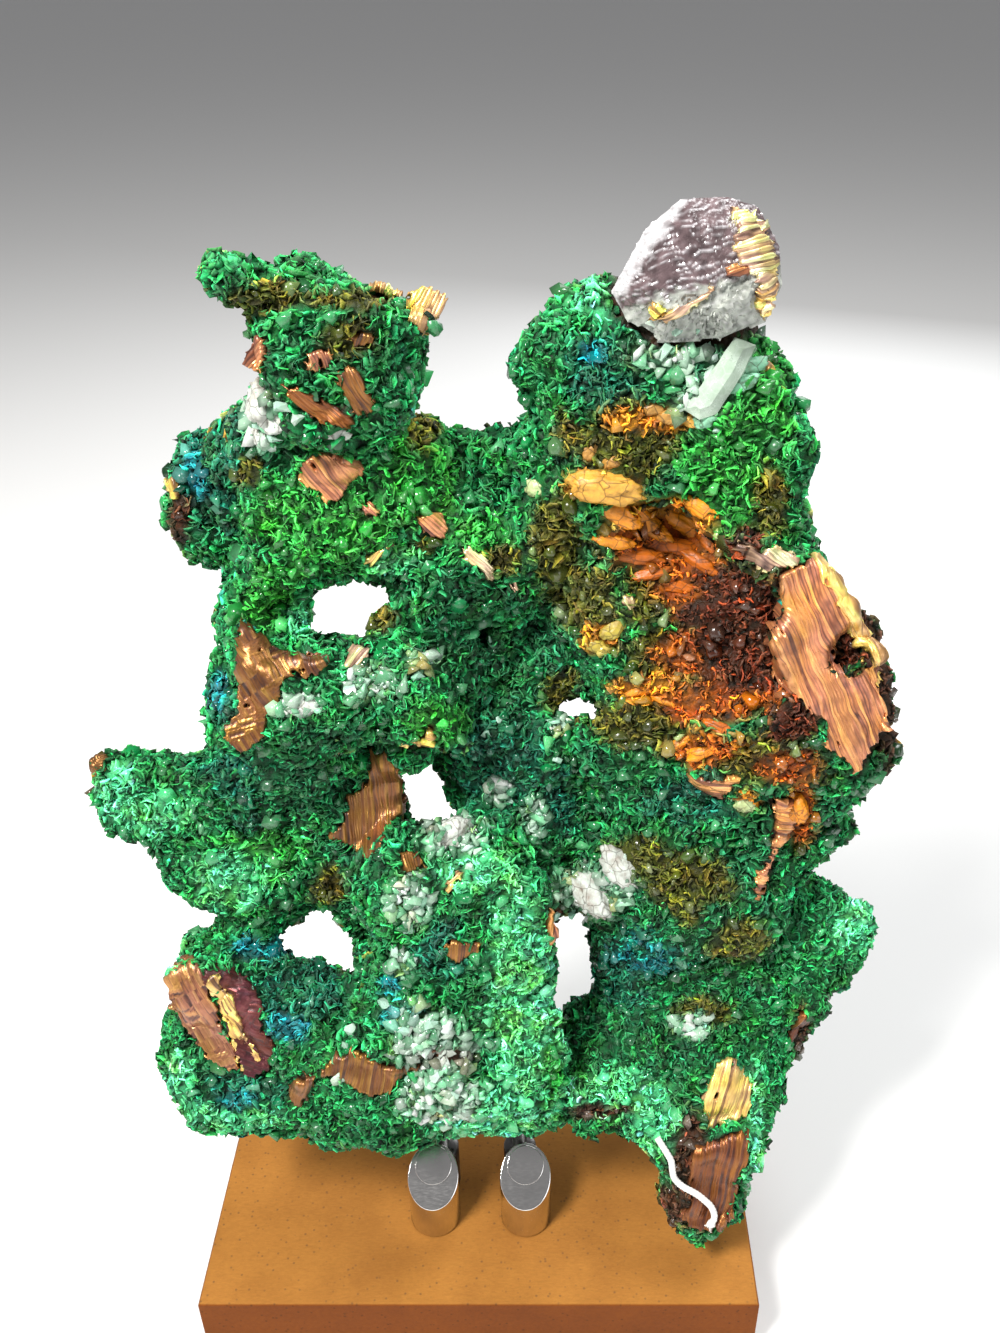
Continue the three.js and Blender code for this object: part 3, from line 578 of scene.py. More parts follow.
class StandSettings(bpy.types.PropertyGroup):
    """Sizes and colours of the stand."""

    segments: bpy.props.IntProperty(
        name="Segments", description="Sides of the round bars", default=96, min=12
    )
    top_slope: bpy.props.FloatProperty(
        name="Top slope", description="Slope of the posts' tops",
        default=math.radians(36), subtype="ANGLE",
    )
    disc_radius: bpy.props.FloatProperty(
        name="Disc radius", description="Radius of the satin disc on a post",
        default=5.8 * MM, unit="LENGTH",
    )
    board: bpy.props.FloatVectorProperty(
        name="Board", description="Colour of the fibreboard", subtype="COLOR", default=shade(148, 98, 40)
    )


SETTINGS = {
    "copper_crust": CrustSettings,
    "copper_leaflets": LeafletSettings,
    "copper_sheets": CopperSettings,
    "copper_quartz": QuartzSettings,
    "copper_stand": StandSettings,
}


def sight(across, down):
    """The direction in which the eye sees a place of the view."""
    across_share = (across - VIEW_MIDDLE[0]) / VIEW_FOCAL
    down_share = (down - VIEW_MIDDLE[1]) / VIEW_FOCAL
    return (AHEAD + Vector((across_share, 0, 0)) + DOWNWARD * down_share).normalized()


def view_places(points):
    """Where the eye sees points: their places across and down in the view."""
    offset = np.asarray(points) - np.array(EYE)
    depth = offset @ np.array(AHEAD)
    across = VIEW_MIDDLE[0] + VIEW_FOCAL * offset[:, 0] / depth
    down = VIEW_MIDDLE[1] + VIEW_FOCAL * (offset @ np.array(DOWNWARD)) / depth
    return np.column_stack([across, down])


def cloud(points, scale, start=0.0):
    """Smooth noise at points, with lumps of the given size."""
    shift = Vector((start, 1.7 * start, 0.6 * start))
    return np.array([noise.noise(Vector(point) / scale + shift) for point in points])


def inside(places, outline):
    """Which view places lie inside an outline."""
    found = np.zeros(len(places), bool)
    corners = np.array(outline, float)
    for start, end in zip(corners, np.roll(corners, -1, axis=0)):
        crosses = (start[1] > places[:, 1]) != (end[1] > places[:, 1])
        rise = end[1] - start[1] if end[1] != start[1] else 1.0
        edge = start[0] + (places[:, 1] - start[1]) * (end[0] - start[0]) / rise
        found ^= crosses & (places[:, 0] < edge)
    return found


def zone_shares(points, name):
    """How fully each point lies in a mineral's zones, from 0 to 1, with ragged edges."""
    places = view_places(points)
    coarse = cloud(points, ZONE_GRAIN, len(name))
    fine = cloud(points, ZONE_GRAIN / 3, len(name))
    ragged = ZONE_RAGGED * (coarse + 0.5 * fine)
    nearest = np.full(len(points), 9.0)
    for across, down, half_width, half_height in ZONES[name]:
        reach = np.hypot((places[:, 0] - across) / half_width, (places[:, 1] - down) / half_height)
        nearest = np.minimum(nearest, reach)
    share = (ZONE_EDGE[0] - nearest - ragged) / (ZONE_EDGE[0] - ZONE_EDGE[1])
    share = np.clip(share, 0, 1)
    return share * share * (3 - 2 * share)


def crust_colours(context, points, facing):
    """The crust's colour at each point: by its zones in front, and by drifting patches of them behind."""
    crust = context.scene.copper_crust
    colours = np.tile(np.array(crust.malachite), (len(points), 1))
    front = np.clip(facing * 3 + 0.6, 0, 1)
    for start, name in enumerate(ZONES):
        mineral = np.array(getattr(crust, name.replace(" ", "_")))
        share = zone_shares(points, name) * front
        behind = np.clip(cloud(points, 26 * MM, 11 + 3.1 * start) * 4 - 1.3, 0, 1) * (1 - front)
        if name in ("rust", "dark rust", "ochre", "cloudy white"):
            behind *= 0.5
        share = np.clip(share + behind, 0, 1)[:, None]
        colours = colours * (1 - share) + mineral * share
    return colours


def surface_arrays(mesh):
    """A mesh's corner places, normals and triangle corners as arrays."""
    mesh.calc_loop_triangles()
    places = np.zeros(3 * len(mesh.vertices))
    mesh.vertices.foreach_get("co", places)
    normals = np.zeros(3 * len(mesh.vertices))
    mesh.vertices.foreach_get("normal", normals)
    corners = np.zeros(3 * len(mesh.loop_triangles), np.int32)
    mesh.loop_triangles.foreach_get("vertices", corners)
    return places.reshape(-1, 3), normals.reshape(-1, 3), corners.reshape(-1, 3)


def give_number(mesh, name, values):
    """Stores one number for each corner of a mesh."""
    mesh.attributes.new(name, "FLOAT", "POINT").data.foreach_set("value", np.asarray(values, np.float32))


def give_colour(mesh, name, colours):
    """Stores one colour for each corner of a mesh."""
    solid = np.column_stack([colours, np.ones(len(colours))]).astype(np.float32)
    mesh.color_attributes.new(name, "FLOAT_COLOR", "POINT").data.foreach_set("color", solid.ravel())


def add_piece(context, name, mesh, material, replaces=()):
    """Puts a finished mesh in the scene as a piece that rides on the specimen's body."""
    piece = bpy.data.objects.new(name, mesh)
    context.scene.collection.objects.link(piece)
    mesh.materials.clear()
    mesh.materials.append(material)
    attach(piece, BODY)
    if replaces:
        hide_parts(*replaces)
    return piece


def mesh_of(name, bm, smooth=False):
    """Turns a bmesh into a mesh and frees it."""
    if smooth:
        for face in bm.faces:
            face.smooth = True
    mesh = bpy.data.meshes.new(name)
    bm.to_mesh(mesh)
    bm.free()
    return mesh


def add_node(tree, kind, inputs=None, **settings):
    """Adds a shader node, sets its settings, and sets or links its inputs."""
    node = tree.nodes.new(kind)
    for name, value in settings.items():
        setattr(node, name, value)
    for name, value in (inputs or {}).items():
        if isinstance(value, bpy.types.NodeSocket):
            tree.links.new(value, node.inputs[name])
        else:
            node.inputs[name].default_value = value
    return node


def blank_material(name):
    """A material with nothing but its output, and its node tree."""
    material = bpy.data.materials.new(name)
    material.use_nodes = True
    material.node_tree.nodes.clear()
    return material, material.node_tree


def finish_material(tree, inputs):
    """Ends a node tree in the shader with these inputs."""
    shader = add_node(tree, "ShaderNodeBsdfPrincipled", inputs)
    add_node(tree, "ShaderNodeOutputMaterial", {"Surface": shader.outputs["BSDF"]})


def mixed(tree, factor, one, other, blend="MIX"):
    """The colour between two colours."""
    node = add_node(tree, "ShaderNodeMix", data_type="RGBA", blend_type=blend)
    for socket, value in ((node.inputs[0], factor), (node.inputs[6], one), (node.inputs[7], other)):
        if isinstance(value, bpy.types.NodeSocket):
            tree.links.new(value, socket)
        else:
            socket.default_value = value
    return node.outputs[2]


def ramp(tree, value, low, high, start=0.0, end=1.0):
    """A value carried from one range to another and held there."""
    node = add_node(
        tree,
        "ShaderNodeMapRange",
        {"Value": value, "From Min": low, "From Max": high, "To Min": start, "To Max": end},
    )
    return node.outputs["Result"]


def own_place(tree):
    """A place on the piece itself."""
    return add_node(tree, "ShaderNodeTexCoord").outputs["Object"]


def stretched(tree, place, scale):
    """A place drawn out, for patterns that run one way."""
    return add_node(tree, "ShaderNodeMapping", {"Vector": place, "Scale": scale}).outputs["Vector"]


def own_colour(tree):
    """The colour that the piece has at each corner."""
    return add_node(tree, "ShaderNodeAttribute", attribute_name="mineral").outputs["Color"]


def own_relief(tree):
    """The height that the piece has at each corner, from 0 in a pit to 1 on a rim."""
    return add_node(tree, "ShaderNodeAttribute", attribute_name="relief").outputs["Fac"]


def soft_noise(tree, place, scale, detail=3.0, roughness=0.5, distortion=0.0):
    """Soft noise at a place, from 0 to 1."""
    inputs = {
        "Vector": place, "Scale": scale, "Detail": detail, "Roughness": roughness, "Distortion": distortion
    }
    return add_node(tree, "ShaderNodeTexNoise", inputs).outputs["Fac"]


def cell_distance(tree, place, scale, feature="DISTANCE_TO_EDGE"):
    """How far a place lies from the edges, or from the middles, of irregular cells."""
    node = add_node(tree, "ShaderNodeTexVoronoi", {"Vector": place, "Scale": scale}, feature=feature)
    return node.outputs["Distance"]


def bumped(tree, height, strength, distance):
    """The surface's normal with fine relief on it."""
    inputs = {"Strength": strength, "Distance": distance, "Height": height}
    return add_node(tree, "ShaderNodeBump", inputs).outputs["Normal"]


def crust_material():
    """Crust in the colour of its minerals, with painted shade that darkens it low in its relief and a painted
    highlight that brightens its crests, fine grain and a slight gloss.
    """
    material, tree = blank_material("grown_crust")
    place = own_place(tree)
    relief = own_relief(tree)
    drift = soft_noise(tree, place, 140.0)
    fine = soft_noise(tree, place, 1300.0, 4.0, 0.7)
    toned = mixed(tree, ramp(tree, drift, 0.45, 0.7), own_colour(tree), (1.5, 1.0, 0.45, 1), "MULTIPLY")
    speckled = mixed(tree, ramp(tree, fine, 0.36, 0.72, 0.0, 0.6), toned, (0.012, 0.02, 0.01, 1))
    # Painted shade: towards the bottom of the relief the colour darkens to near black, in the crust's pits,
    # on the body between the leaflets and at each leaflet's foot.
    pits = mixed(tree, ramp(tree, relief, 0.05, 0.62, 0.95, 0.0), speckled, (0.002, 0.006, 0.003, 1))
    # Painted highlight: the same colour made about three times brighter and a little paler, for the crests
    # and the leaflets' tips.
    painted_highlight = mixed(tree, 1.0, pits, (3.3, 2.8, 3.1, 1), "MULTIPLY")
    paled_painted_highlight = mixed(tree, 0.05, painted_highlight, (0.8, 1.0, 0.8, 1))
    # The base colour runs from the painted shade low in the relief to the painted highlight on its crests.
    shade_to_highlight_colour = mixed(tree, ramp(tree, relief, 0.62, 1.0), pits, paled_painted_highlight)
    edges = ramp(tree, cell_distance(tree, place, 720.0), 0.0, 0.35)
    grain = add_node(tree, "ShaderNodeMath", {0: fine, 1: edges}, operation="ADD").outputs["Value"]
    finish_material(
        tree,
        {
            "Base Color": shade_to_highlight_colour,
            "Roughness": ramp(tree, fine, 0.3, 0.75, 0.66, 0.4),
            "Normal": bumped(tree, grain, 0.55, 0.5 * MM),
            "Specular IOR Level": 0.22,
        },
    )
    return material


def copper_material():
    """Bare copper: more metallic on the ridges, with painted shade that darkens the grooves, its strips in
    slightly different browns.
    """
    material, tree = blank_material("grooved_copper")
    place = own_place(tree)
    relief = own_relief(tree)
    fine = soft_noise(tree, place, 900.0, 4.0, 0.65)
    stain = ramp(tree, soft_noise(tree, place, 190.0), 0.45, 0.75, 0.0, 0.5)
    stained = mixed(tree, stain, own_colour(tree), (0.12, 0.045, 0.03, 1))
    # Painted shade: the colour darkens to near black towards the bottom of each groove.
    grooved = mixed(tree, ramp(tree, relief, 0.0, 0.38, 0.85, 0.0), stained, (0.02, 0.008, 0.006, 1))
    finish_material(
        tree,
        {
            "Base Color": grooved,
            "Metallic": ramp(tree, relief, 0.1, 0.6, 0.2, 0.75),
            "Roughness": ramp(tree, fine, 0.3, 0.7, 0.26, 0.46),
            "Normal": bumped(tree, fine, 0.4, 0.3 * MM),
        },
    )
    return material


def quartz_material(name, colour, veil, clearness):
    """Quartz, partly clear, with milky veils and fine healed cracks inside."""
    material, tree = blank_material(name)
    place = own_place(tree)
    veils = soft_noise(tree, place, 260.0, 5.0, 0.6)
    body = mixed(tree, ramp(tree, veils, 0.4, 0.68), (*colour, 1), (*veil, 1))
    cracks = ramp(tree, cell_distance(tree, place, 420.0), 0.0, 0.09, 0.5, 0.0)
    cracked = mixed(tree, cracks, body, (*veil, 1))
    finish_material(
        tree,
        {
            "Base Color": mixed(tree, 1.0, cracked, own_colour(tree), "MULTIPLY"),
            "Roughness": ramp(tree, veils, 0.4, 0.7, 0.12, 0.38),
            "Transmission Weight": clearness,
            "IOR": QUARTZ_IOR,
            "Normal": bumped(tree, veils, 0.35, 0.4 * MM),
        },
    )
    return material


def fibreboard_material(colour, top):
    """Fibreboard: fine pale and dark fibres on its face, browner and darker below its upper edge."""
    material, tree = blank_material("fibreboard")
    place = own_place(tree)
    height = add_node(tree, "ShaderNodeSeparateXYZ", {"Vector": place}).outputs["Z"]
    fibres = soft_noise(tree, stretched(tree, place, (1.0, 2.6, 1.0)), 700.0, 5.0, 0.7)
    blotches = soft_noise(tree, place, 45.0)
    specks = cell_distance(tree, place, 420.0, "F1")
    pale = tuple(1.25 * part for part in colour) + (1,)
    brown = tuple(part * scale for part, scale in zip(colour, (0.55, 0.46, 0.36))) + (1,)
    face = mixed(tree, ramp(tree, fibres, 0.35, 0.68), (*colour, 1), pale)
    blotched = mixed(tree, ramp(tree, blotches, 0.4, 0.7, 0.0, 0.4), face, brown)
    dark = mixed(tree, ramp(tree, specks, 0.0, 0.22, 0.85, 0.0), blotched, (0.1, 0.05, 0.02, 1))
    sawn = mixed(tree, 1.0, dark, (0.5, 0.3, 0.04, 1), "MULTIPLY")
    finish_material(
        tree,
        {
            "Base Color": mixed(tree, ramp(tree, height, top - 0.5 * MM, top - 0.1 * MM), sawn, dark),
            "Roughness": 0.78,
            "Normal": bumped(tree, fibres, 0.35, 0.3 * MM),
            "Specular IOR Level": 0.2,
        },
    )
    return material


def steel_material(name, colour, roughness, brushing):
    """Steel bar with the fine turned or brushed lines that its roughness shows."""
    material, tree = blank_material(name)
    place = own_place(tree)
    lines = soft_noise(tree, stretched(tree, place, brushing), 600.0, 4.0)
    smears = ramp(tree, soft_noise(tree, place, 120.0), 0.35, 0.7, 0.0, 0.3)
    finish_material(
        tree,
        {
            "Base Color": mixed(tree, smears, (*colour, 1), (*[0.6 * part for part in colour], 1)),
            "Metallic": 1.0,
            "Roughness": ramp(tree, lines, 0.3, 0.7, roughness, 2.2 * roughness),
            "Normal": bumped(tree, lines, 0.08, 0.2 * MM),
        },
    )
    return material


def cotton_material():
    """White string: soft, matt, with short fibres along its strands."""
    material, tree = blank_material("white_cotton")
    fibres = soft_noise(tree, own_place(tree), 2600.0, distortion=1.5)
    grey = (0.52, 0.5, 0.46, 1)
    white = (0.86, 0.85, 0.82, 1)
    finish_material(
        tree,
        {
            "Base Color": mixed(tree, ramp(tree, fibres, 0.3, 0.7), grey, white),
            "Roughness": 0.9,
            "Sheen Weight": 0.4,
            "Normal": bumped(tree, fibres, 0.7, 0.2 * MM),
        },
    )
    return material


def lump_material():
    """Smooth iron-rich lumps: waxy, in the colour of each lump, stained darker in patches."""
    material, tree = blank_material("iron_lumps")
    place = own_place(tree)
    stain = soft_noise(tree, place, 330.0, 5.0, 0.65)
    stained = mixed(tree, ramp(tree, stain, 0.44, 0.74, 0.0, 0.7), own_colour(tree), (0.13, 0.045, 0.008, 1))
    cracks = ramp(tree, cell_distance(tree, place, 260.0), 0.0, 0.05, 0.7, 0.0)
    finish_material(
        tree,
        {
            "Base Color": mixed(tree, cracks, stained, (0.03, 0.012, 0.004, 1)),
            "Roughness": ramp(tree, stain, 0.3, 0.7, 0.32, 0.6),
            "Normal": bumped(tree, stain, 0.5, 0.6 * MM),
        },
    )
    return material


class COPPER_OT_studio(bpy.types.Operator):
    """Make the pale floor, the soft lights and the camera"""

    bl_idname = "copper.studio"
    bl_label = "Studio"

    def execute(self, context):
        scene = context.scene
        camera = bpy.data.objects.new("camera", bpy.data.cameras.new("camera"))
        camera.location = EYE
        camera.rotation_euler = (math.pi / 2 - VIEW_PITCH, 0, 0)
        camera.data.lens = SENSOR * VIEW_FOCAL / VIEW_LONG_SIDE
        camera.data.sensor_width = SENSOR
        camera.data.shift_x = (500 - VIEW_MIDDLE[0]) / VIEW_LONG_SIDE
        camera.data.clip_start = 0.01
        scene.collection.objects.link(camera)
        scene.camera = camera

        bm = bmesh.new()
        bmesh.ops.create_grid(bm, x_segments=1, y_segments=1, size=30)
        floor_mesh = mesh_of("floor", bm)
        floor = bpy.data.objects.new("floor", floor_mesh)
        scene.collection.objects.link(floor)
        material, tree = blank_material("pale_floor")
        finish_material(tree, {"Base Color": (0.78, 0.78, 0.77, 1), "Roughness": 0.7})
        floor_mesh.materials.append(material)

        world = bpy.data.worlds.new("soft_studio")
        world.use_nodes = True
        world.node_tree.nodes["Background"].inputs["Color"].default_value = (0.88, 0.88, 0.9, 1)
        world.node_tree.nodes["Background"].inputs["Strength"].default_value = 0.3
        scene.world = world
        lamps = {
            "key": ((-0.45, -0.5, 1.05), 0.26, 22.5, (1.0, 0.98, 0.95)),
            "fill": ((0.8, -0.7, 0.5), 0.6, 3.5, (0.96, 0.98, 1.0)),
            "top": ((0.35, 0.1, 1.1), 0.4, 8.0, (1.0, 1.0, 1.0)),
            "back": ((0.3, 0.9, 0.5), 0.6, 3.0, (0.96, 0.98, 1.0)),
        }
        middle = (CAD_BOX[0] + CAD_BOX[1]) / 2
        for name, (place, size, power, tint) in lamps.items():
            lamp = bpy.data.objects.new(name, bpy.data.lights.new(name, "AREA"))
            lamp.location = place
            lamp.rotation_euler = (middle - Vector(place)).to_track_quat("-Z", "Y").to_euler()
            lamp.data.size = size
            lamp.data.energy = power
            lamp.data.color = tint
            scene.collection.objects.link(lamp)
        scene.view_settings.view_transform = "Standard"
        return {"FINISHED"}


class COPPER_OT_string(bpy.types.Operator):
    """Lay the white string and its frayed end"""

    bl_idname = "copper.string"
    bl_label = "White string"

    def execute(self, context):
        route = smooth_route(STRING_ROUTE, 8)
        material = cotton_material()
        mesh = strand_mesh("white_string_cotton", route, STRING_DIAMETER / 2)
        string = add_piece(context, "white_string_cotton", mesh, material, ["white_string"])
        frayed = frayed_mesh(route[-1], route[-1] - route[-3])
        fray = add_piece(context, "string_frayed_end", frayed, material)
        return {"FINISHED"}


def smooth_route(points, steps):
    """A smooth line through points, with so many steps from each to the next."""
    knots = [Vector(point) for point in points]
    padded = [2 * knots[0] - knots[1], *knots, 2 * knots[-1] - knots[-2]]
    line = []
    for before, start, end, after in zip(padded, padded[1:], padded[2:], padded[3:]):
        for step in range(steps):
            t = step / steps
            line.append(
                0.5
                * (
                    2 * start
                    + (end - before) * t
                    + (2 * before - 5 * start + 4 * end - after) * t * t
                    + (3 * start - before - 3 * end + after) * t**3
                )
            )
    return [*line, knots[-1]]


def strand_mesh(name, route, radius, sides=20, turns=11, strands=3, depth=0.16):
    """A twisted string along a route: a round section, hollow between its strands, turning as it goes."""
    bm = bmesh.new()
    up = Vector((0, 0, 1))
    rings = []
    for index, point in enumerate(route):
        ahead = route[min(index + 1, len(route) - 1)] - route[max(index - 1, 0)]
        ahead.normalize()
        side = ahead.cross(up).normalized()
        over = side.cross(ahead)
        turn = 2 * math.pi * turns * index / len(route)
        ring = []
        for corner in range(sides):
            angle = 2 * math.pi * corner / sides
            bulge = radius * (1 - depth + depth * abs(math.cos(strands * (angle - turn) / 2)))
            ring.append(bm.verts.new(point + bulge * (math.cos(angle) * side + math.sin(angle) * over)))
        rings.append(ring)
    for one, other in zip(rings, rings[1:]):
        for corner in range(sides):
            after = (corner + 1) % sides
            bm.faces.new((one[corner], one[after], other[after], other[corner]))
    bm.faces.new(reversed(rings[0]))
    bm.faces.new(rings[-1])
    bmesh.ops.recalc_face_normals(bm, faces=bm.faces)
    return mesh_of(name, bm, smooth=True)


def frayed_mesh(place, ahead, wisps=9):
    """The loose end: a small knot with short wisps that spread from it."""
    rng = np.random.default_rng(7)
    bm = bmesh.new()
    bmesh.ops.create_icosphere(
        bm, subdivisions=3, radius=0.62 * STRING_DIAMETER, matrix=Matrix.Translation(place)
    )
    for vert in bm.verts:
        vert.co += 0.16 * STRING_DIAMETER * noise.noise_vector(vert.co * 1200)
    for _ in range(wisps):
        spread = Vector(rng.normal(0, 0.5, 3))
        way = (ahead.normalized() + spread).normalized()
        size = 0.13 * STRING_DIAMETER * rng.uniform(0.7, 1.2)
        length = STRING_DIAMETER * rng.uniform(0.8, 1.3)
        tilt = way.to_track_quat("Z", "Y").to_matrix().to_4x4()
        turned = Matrix.Translation(place + way * length / 2) @ tilt
        bmesh.ops.create_cone(
            bm, cap_ends=True, segments=6, radius1=size, radius2=0.4 * size, depth=length, matrix=turned
        )
    return mesh_of("string_frayed_end", bm, smooth=True)


class COPPER_OT_crust(bpy.types.Operator):
    """Grow the crust's body: the CAD specimen, softened, with lumps, walls and pits"""

    bl_idname = "copper.crust"
    bl_label = "Crust"

    def execute(self, context):
        crust = context.scene.copper_crust
        body = softened_body(context, crust.voxel)
        places, normals, _ = surface_arrays(body)
        swell = cloud(places, 13 * MM, 3.0) + 0.55 * cloud(places, 5.5 * MM, 9.0)
        crystal = covered_by_crystal(places, facing_shares(places, normals))
        height = (crust.lump * swell - crust.inset) * (1 - crystal) - 1.6 * MM * crystal
        places = places + normals * height[:, None]
        body.vertices.foreach_set("co", places.ravel())
        body.update()
        context.scene["copper_body"] = body.name

        places, normals, _ = surface_arrays(body)
        facing = facing_shares(places, normals)
        covered = covered_by_sheets(places, facing)
        walls, _ = cell_walls(places, WALL_CELL)
        relief = np.clip(0.25 + 0.75 * walls + 0.4 * cloud(places, 1.9 * MM, 5.0), 0, 1)
        height = crust.cell * (relief - 0.55) * (1 - covered) - 0.5 * MM * covered
        skin = body.copy()
        skin.vertices.foreach_set("co", (places + normals * height[:, None]).ravel())
        skin.update()
        # Under a sheet the body takes the bare brown of tarnished copper, darkened to 0.7 as painted shade
        # beneath the sheet.
        bare = np.array(crust.bare_brown) * 0.7
        colours = crust_colours(context, places, facing)
        give_colour(skin, "mineral", colours + (bare - colours) * covered[:, None])
        # The body's relief is halved, so the crust's material paints the body darker, as painted shade
        # between the leaflets.
        give_number(skin, "relief", 0.5 * relief)
        for face in skin.polygons:
            face.use_smooth = True
        add_piece(context, "mineral_crust_body", skin, crust_material(), ["copper_specimen"])
        return {"FINISHED"}


def softened_body(context, voxel):
    """The CAD specimen as one even, softened mesh."""
    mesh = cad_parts["copper_specimen"].data.copy()
    bm = bmesh.new()
    bm.from_mesh(mesh)
    bmesh.ops.remove_doubles(bm, verts=bm.verts, dist=1e-6)
    bm.to_mesh(mesh)
    bm.free()
    rough = bpy.data.objects.new("rough_body", mesh)
    context.scene.collection.objects.link(rough)
    remesh = rough.modifiers.new("even", "REMESH")
    remesh.mode = "VOXEL"
    remesh.voxel_size = voxel
    soften = rough.modifiers.new("soften", "SMOOTH")
    soften.factor = 0.5
    soften.iterations = 5
    evaluated = rough.evaluated_get(context.evaluated_depsgraph_get())
    body = bpy.data.meshes.new_from_object(evaluated)
    bpy.data.objects.remove(rough)
    body.name = "mineral_crust_body"
    return body


def facing_shares(places, normals):
    """How squarely each point faces the eye, from -1 to 1."""
    towards = np.array(EYE) - places
    towards /= np.linalg.norm(towards, axis=1)[:, None]
    return (normals * towards).sum(axis=1)


def grown(outline, share):
    """An outline made larger or smaller about its middle."""
    corners = np.array(outline, float)
    middle = corners.mean(axis=0)
    return middle + (corners - middle) * share


def covered_by_crystal(places, facing):
    """1 where the large crystal lies over the crust or beside it, else 0."""
    return (inside(view_places(places), grown(TOP_CRYSTAL, 1.14)) & (facing > -0.35)).astype(float)


def covered_by_sheets(places, facing):
    """1 where a copper sheet or the large crystal lies over the crust, else 0."""
    seen = view_places(places)
    covered = covered_by_crystal(places, facing)
    covered[inside(seen, PLANK) & (facing > -0.1)] = 1
    for sheet in SHEETS.values():
        clear = sheet.get("clear", 0.88)
        under = inside(seen, grown(sheet["outline"], clear)) & ~in_pit(seen, sheet)
        covered[under & (facing > (-0.3 if "steep" in sheet else -0.1))] = 1
    return covered


def covered_by_lumps(places, facing):
    """1 where a smooth lump or a cloudy crystal lies over the crust, else 0."""
    seen = view_places(places)
    front = facing > 0
    covered = np.zeros(len(places))
    for across, down, half_length, half_width, turn, _ in LUMPS:
        angle = math.radians(turn)
        offset = seen - np.array([across, down])
        along = offset @ np.array([math.cos(angle), math.sin(angle)])
        side = offset @ np.array([-math.sin(angle), math.cos(angle)])
        covered[(np.hypot(along / half_length, side / half_width) < 0.95) & front] = 1
    for across, down, size in BOULDERS:
        covered[(np.hypot(seen[:, 0] - across, seen[:, 1] - down) < 0.5 * size) & front] = 1
    return covered


def cell_walls(places, size):
    """Walls between irregular cells: 1 on a wall and 0 in the cell, and the direction across each wall."""
    walls = np.empty(len(places))
    crossing = np.empty((len(places), 3))
    for index, place in enumerate(places):
        bent = Vector(place) / size
        bent += 0.5 * noise.noise_vector(bent * 0.9)
        near, centres = noise.voronoi(bent)
        walls[index] = near[1] - near[0]
        crossing[index] = centres[1] - centres[0]
    return np.clip(1 - walls / 0.45, 0, 1), crossing


class COPPER_OT_leaflets(bpy.types.Operator):
    """Stand thousands of small curled crystals and blocky grains on the crust"""

    bl_idname = "copper.leaflets"
    bl_label = "Leaflets and grains"

    def execute(self, context):
        settings = context.scene.copper_leaflets
        rng = np.random.default_rng(41)
        crust = crust_material_in_use()
        total = settings.count * settings.pieces
        seats, normals = scattered_seats(rng, 3 * total, leaflet_weight)
        walls, crossing = cell_walls(seats, WALL_CELL)
        kept = rng.choice(len(seats), total, replace=False, p=(0.03 + walls**2) / (0.03 + walls**2).sum())
        for piece in range(settings.pieces):
            chosen = kept[piece :: settings.pieces]
            mesh = leaflet_mesh(
                context, rng, f"curled_crystals_{piece + 1}", seats[chosen], normals[chosen], crossing[chosen]
            )
            add_piece(context, mesh.name, mesh, crust)
        seats, normals = scattered_seats(rng, settings.grains, grain_weight)
        mesh = grain_mesh(context, rng, "blocky_grains", seats, normals)
        add_piece(context, mesh.name, mesh, quartz_in_use(context))
        return {"FINISHED"}


def crust_material_in_use():
    """The crust's material, as the crust's body has it."""
    return bpy.data.objects["mineral_crust_body"].data.materials[0]


def quartz_in_use(context):
    """The milky quartz, made once."""
    if "milky_quartz" in bpy.data.materials:
        return bpy.data.materials["milky_quartz"]
    cloudy = tuple(context.scene.copper_quartz.cloudy)
    return quartz_material("milky_quartz", cloudy, (0.86, 0.88, 0.86), 0.2)


def leaflet_weight(points, facing):
    """How thickly leaflets grow: most on the front, few where quartz or bare copper shows."""
    quartz = zone_shares(points, "cloudy white")
    bare = zone_shares(points, "bare brown")
    front = np.where(facing > -0.15, 1.0, 0.3)
    free = (1 - covered_by_sheets(points, facing)) * (1 - covered_by_lumps(points, facing))
    return front * (1 - 0.72 * quartz) * (1 - 0.55 * bare) * free


def grain_weight(points, facing):
    """How thickly blocky grains lie: mostly in the quartz zones, on the front."""
    quartz = zone_shares(points, "cloudy white")
    front = np.where(facing > 0, 1.0, 0.1)
    return front * (0.06 + quartz) * (1 - covered_by_sheets(points, facing))


def scattered_seats(rng, count, weight):
    """Random places on the crust's body, with its normals there, thicker where the weight is greater."""
    mesh = bpy.data.objects["mineral_crust_body"].data
    places, normals, corners = surface_arrays(mesh)
    one, two, three = (places[corners[:, index]] for index in range(3))
    cross = np.cross(two - one, three - one)
    area = np.linalg.norm(cross, axis=1)
    normal = normals[corners].mean(axis=1)
    normal /= np.linalg.norm(normal, axis=1)[:, None]
    middle = (one + two + three) / 3
    share = area * weight(middle, facing_shares(middle, normal))
    chosen = rng.choice(len(corners), count, p=share / share.sum())
    along = rng.random((count, 2))
    folded = along.sum(axis=1) > 1
    along[folded] = 1 - along[folded]
    edge = one[chosen]
    seats = edge + along[:, :1] * (two[chosen] - edge) + along[:, 1:] * (three[chosen] - edge)
    return seats, normal[chosen]


def template_arrays(bm):
    """The corner places and the faces of a small shape whose faces have equally many corners."""
    bm.verts.ensure_lookup_table()
    places = np.array([vert.co[:] for vert in bm.verts])
    faces = np.array([[vert.index for vert in face.verts] for face in bm.faces])
    bm.free()
    return places, faces


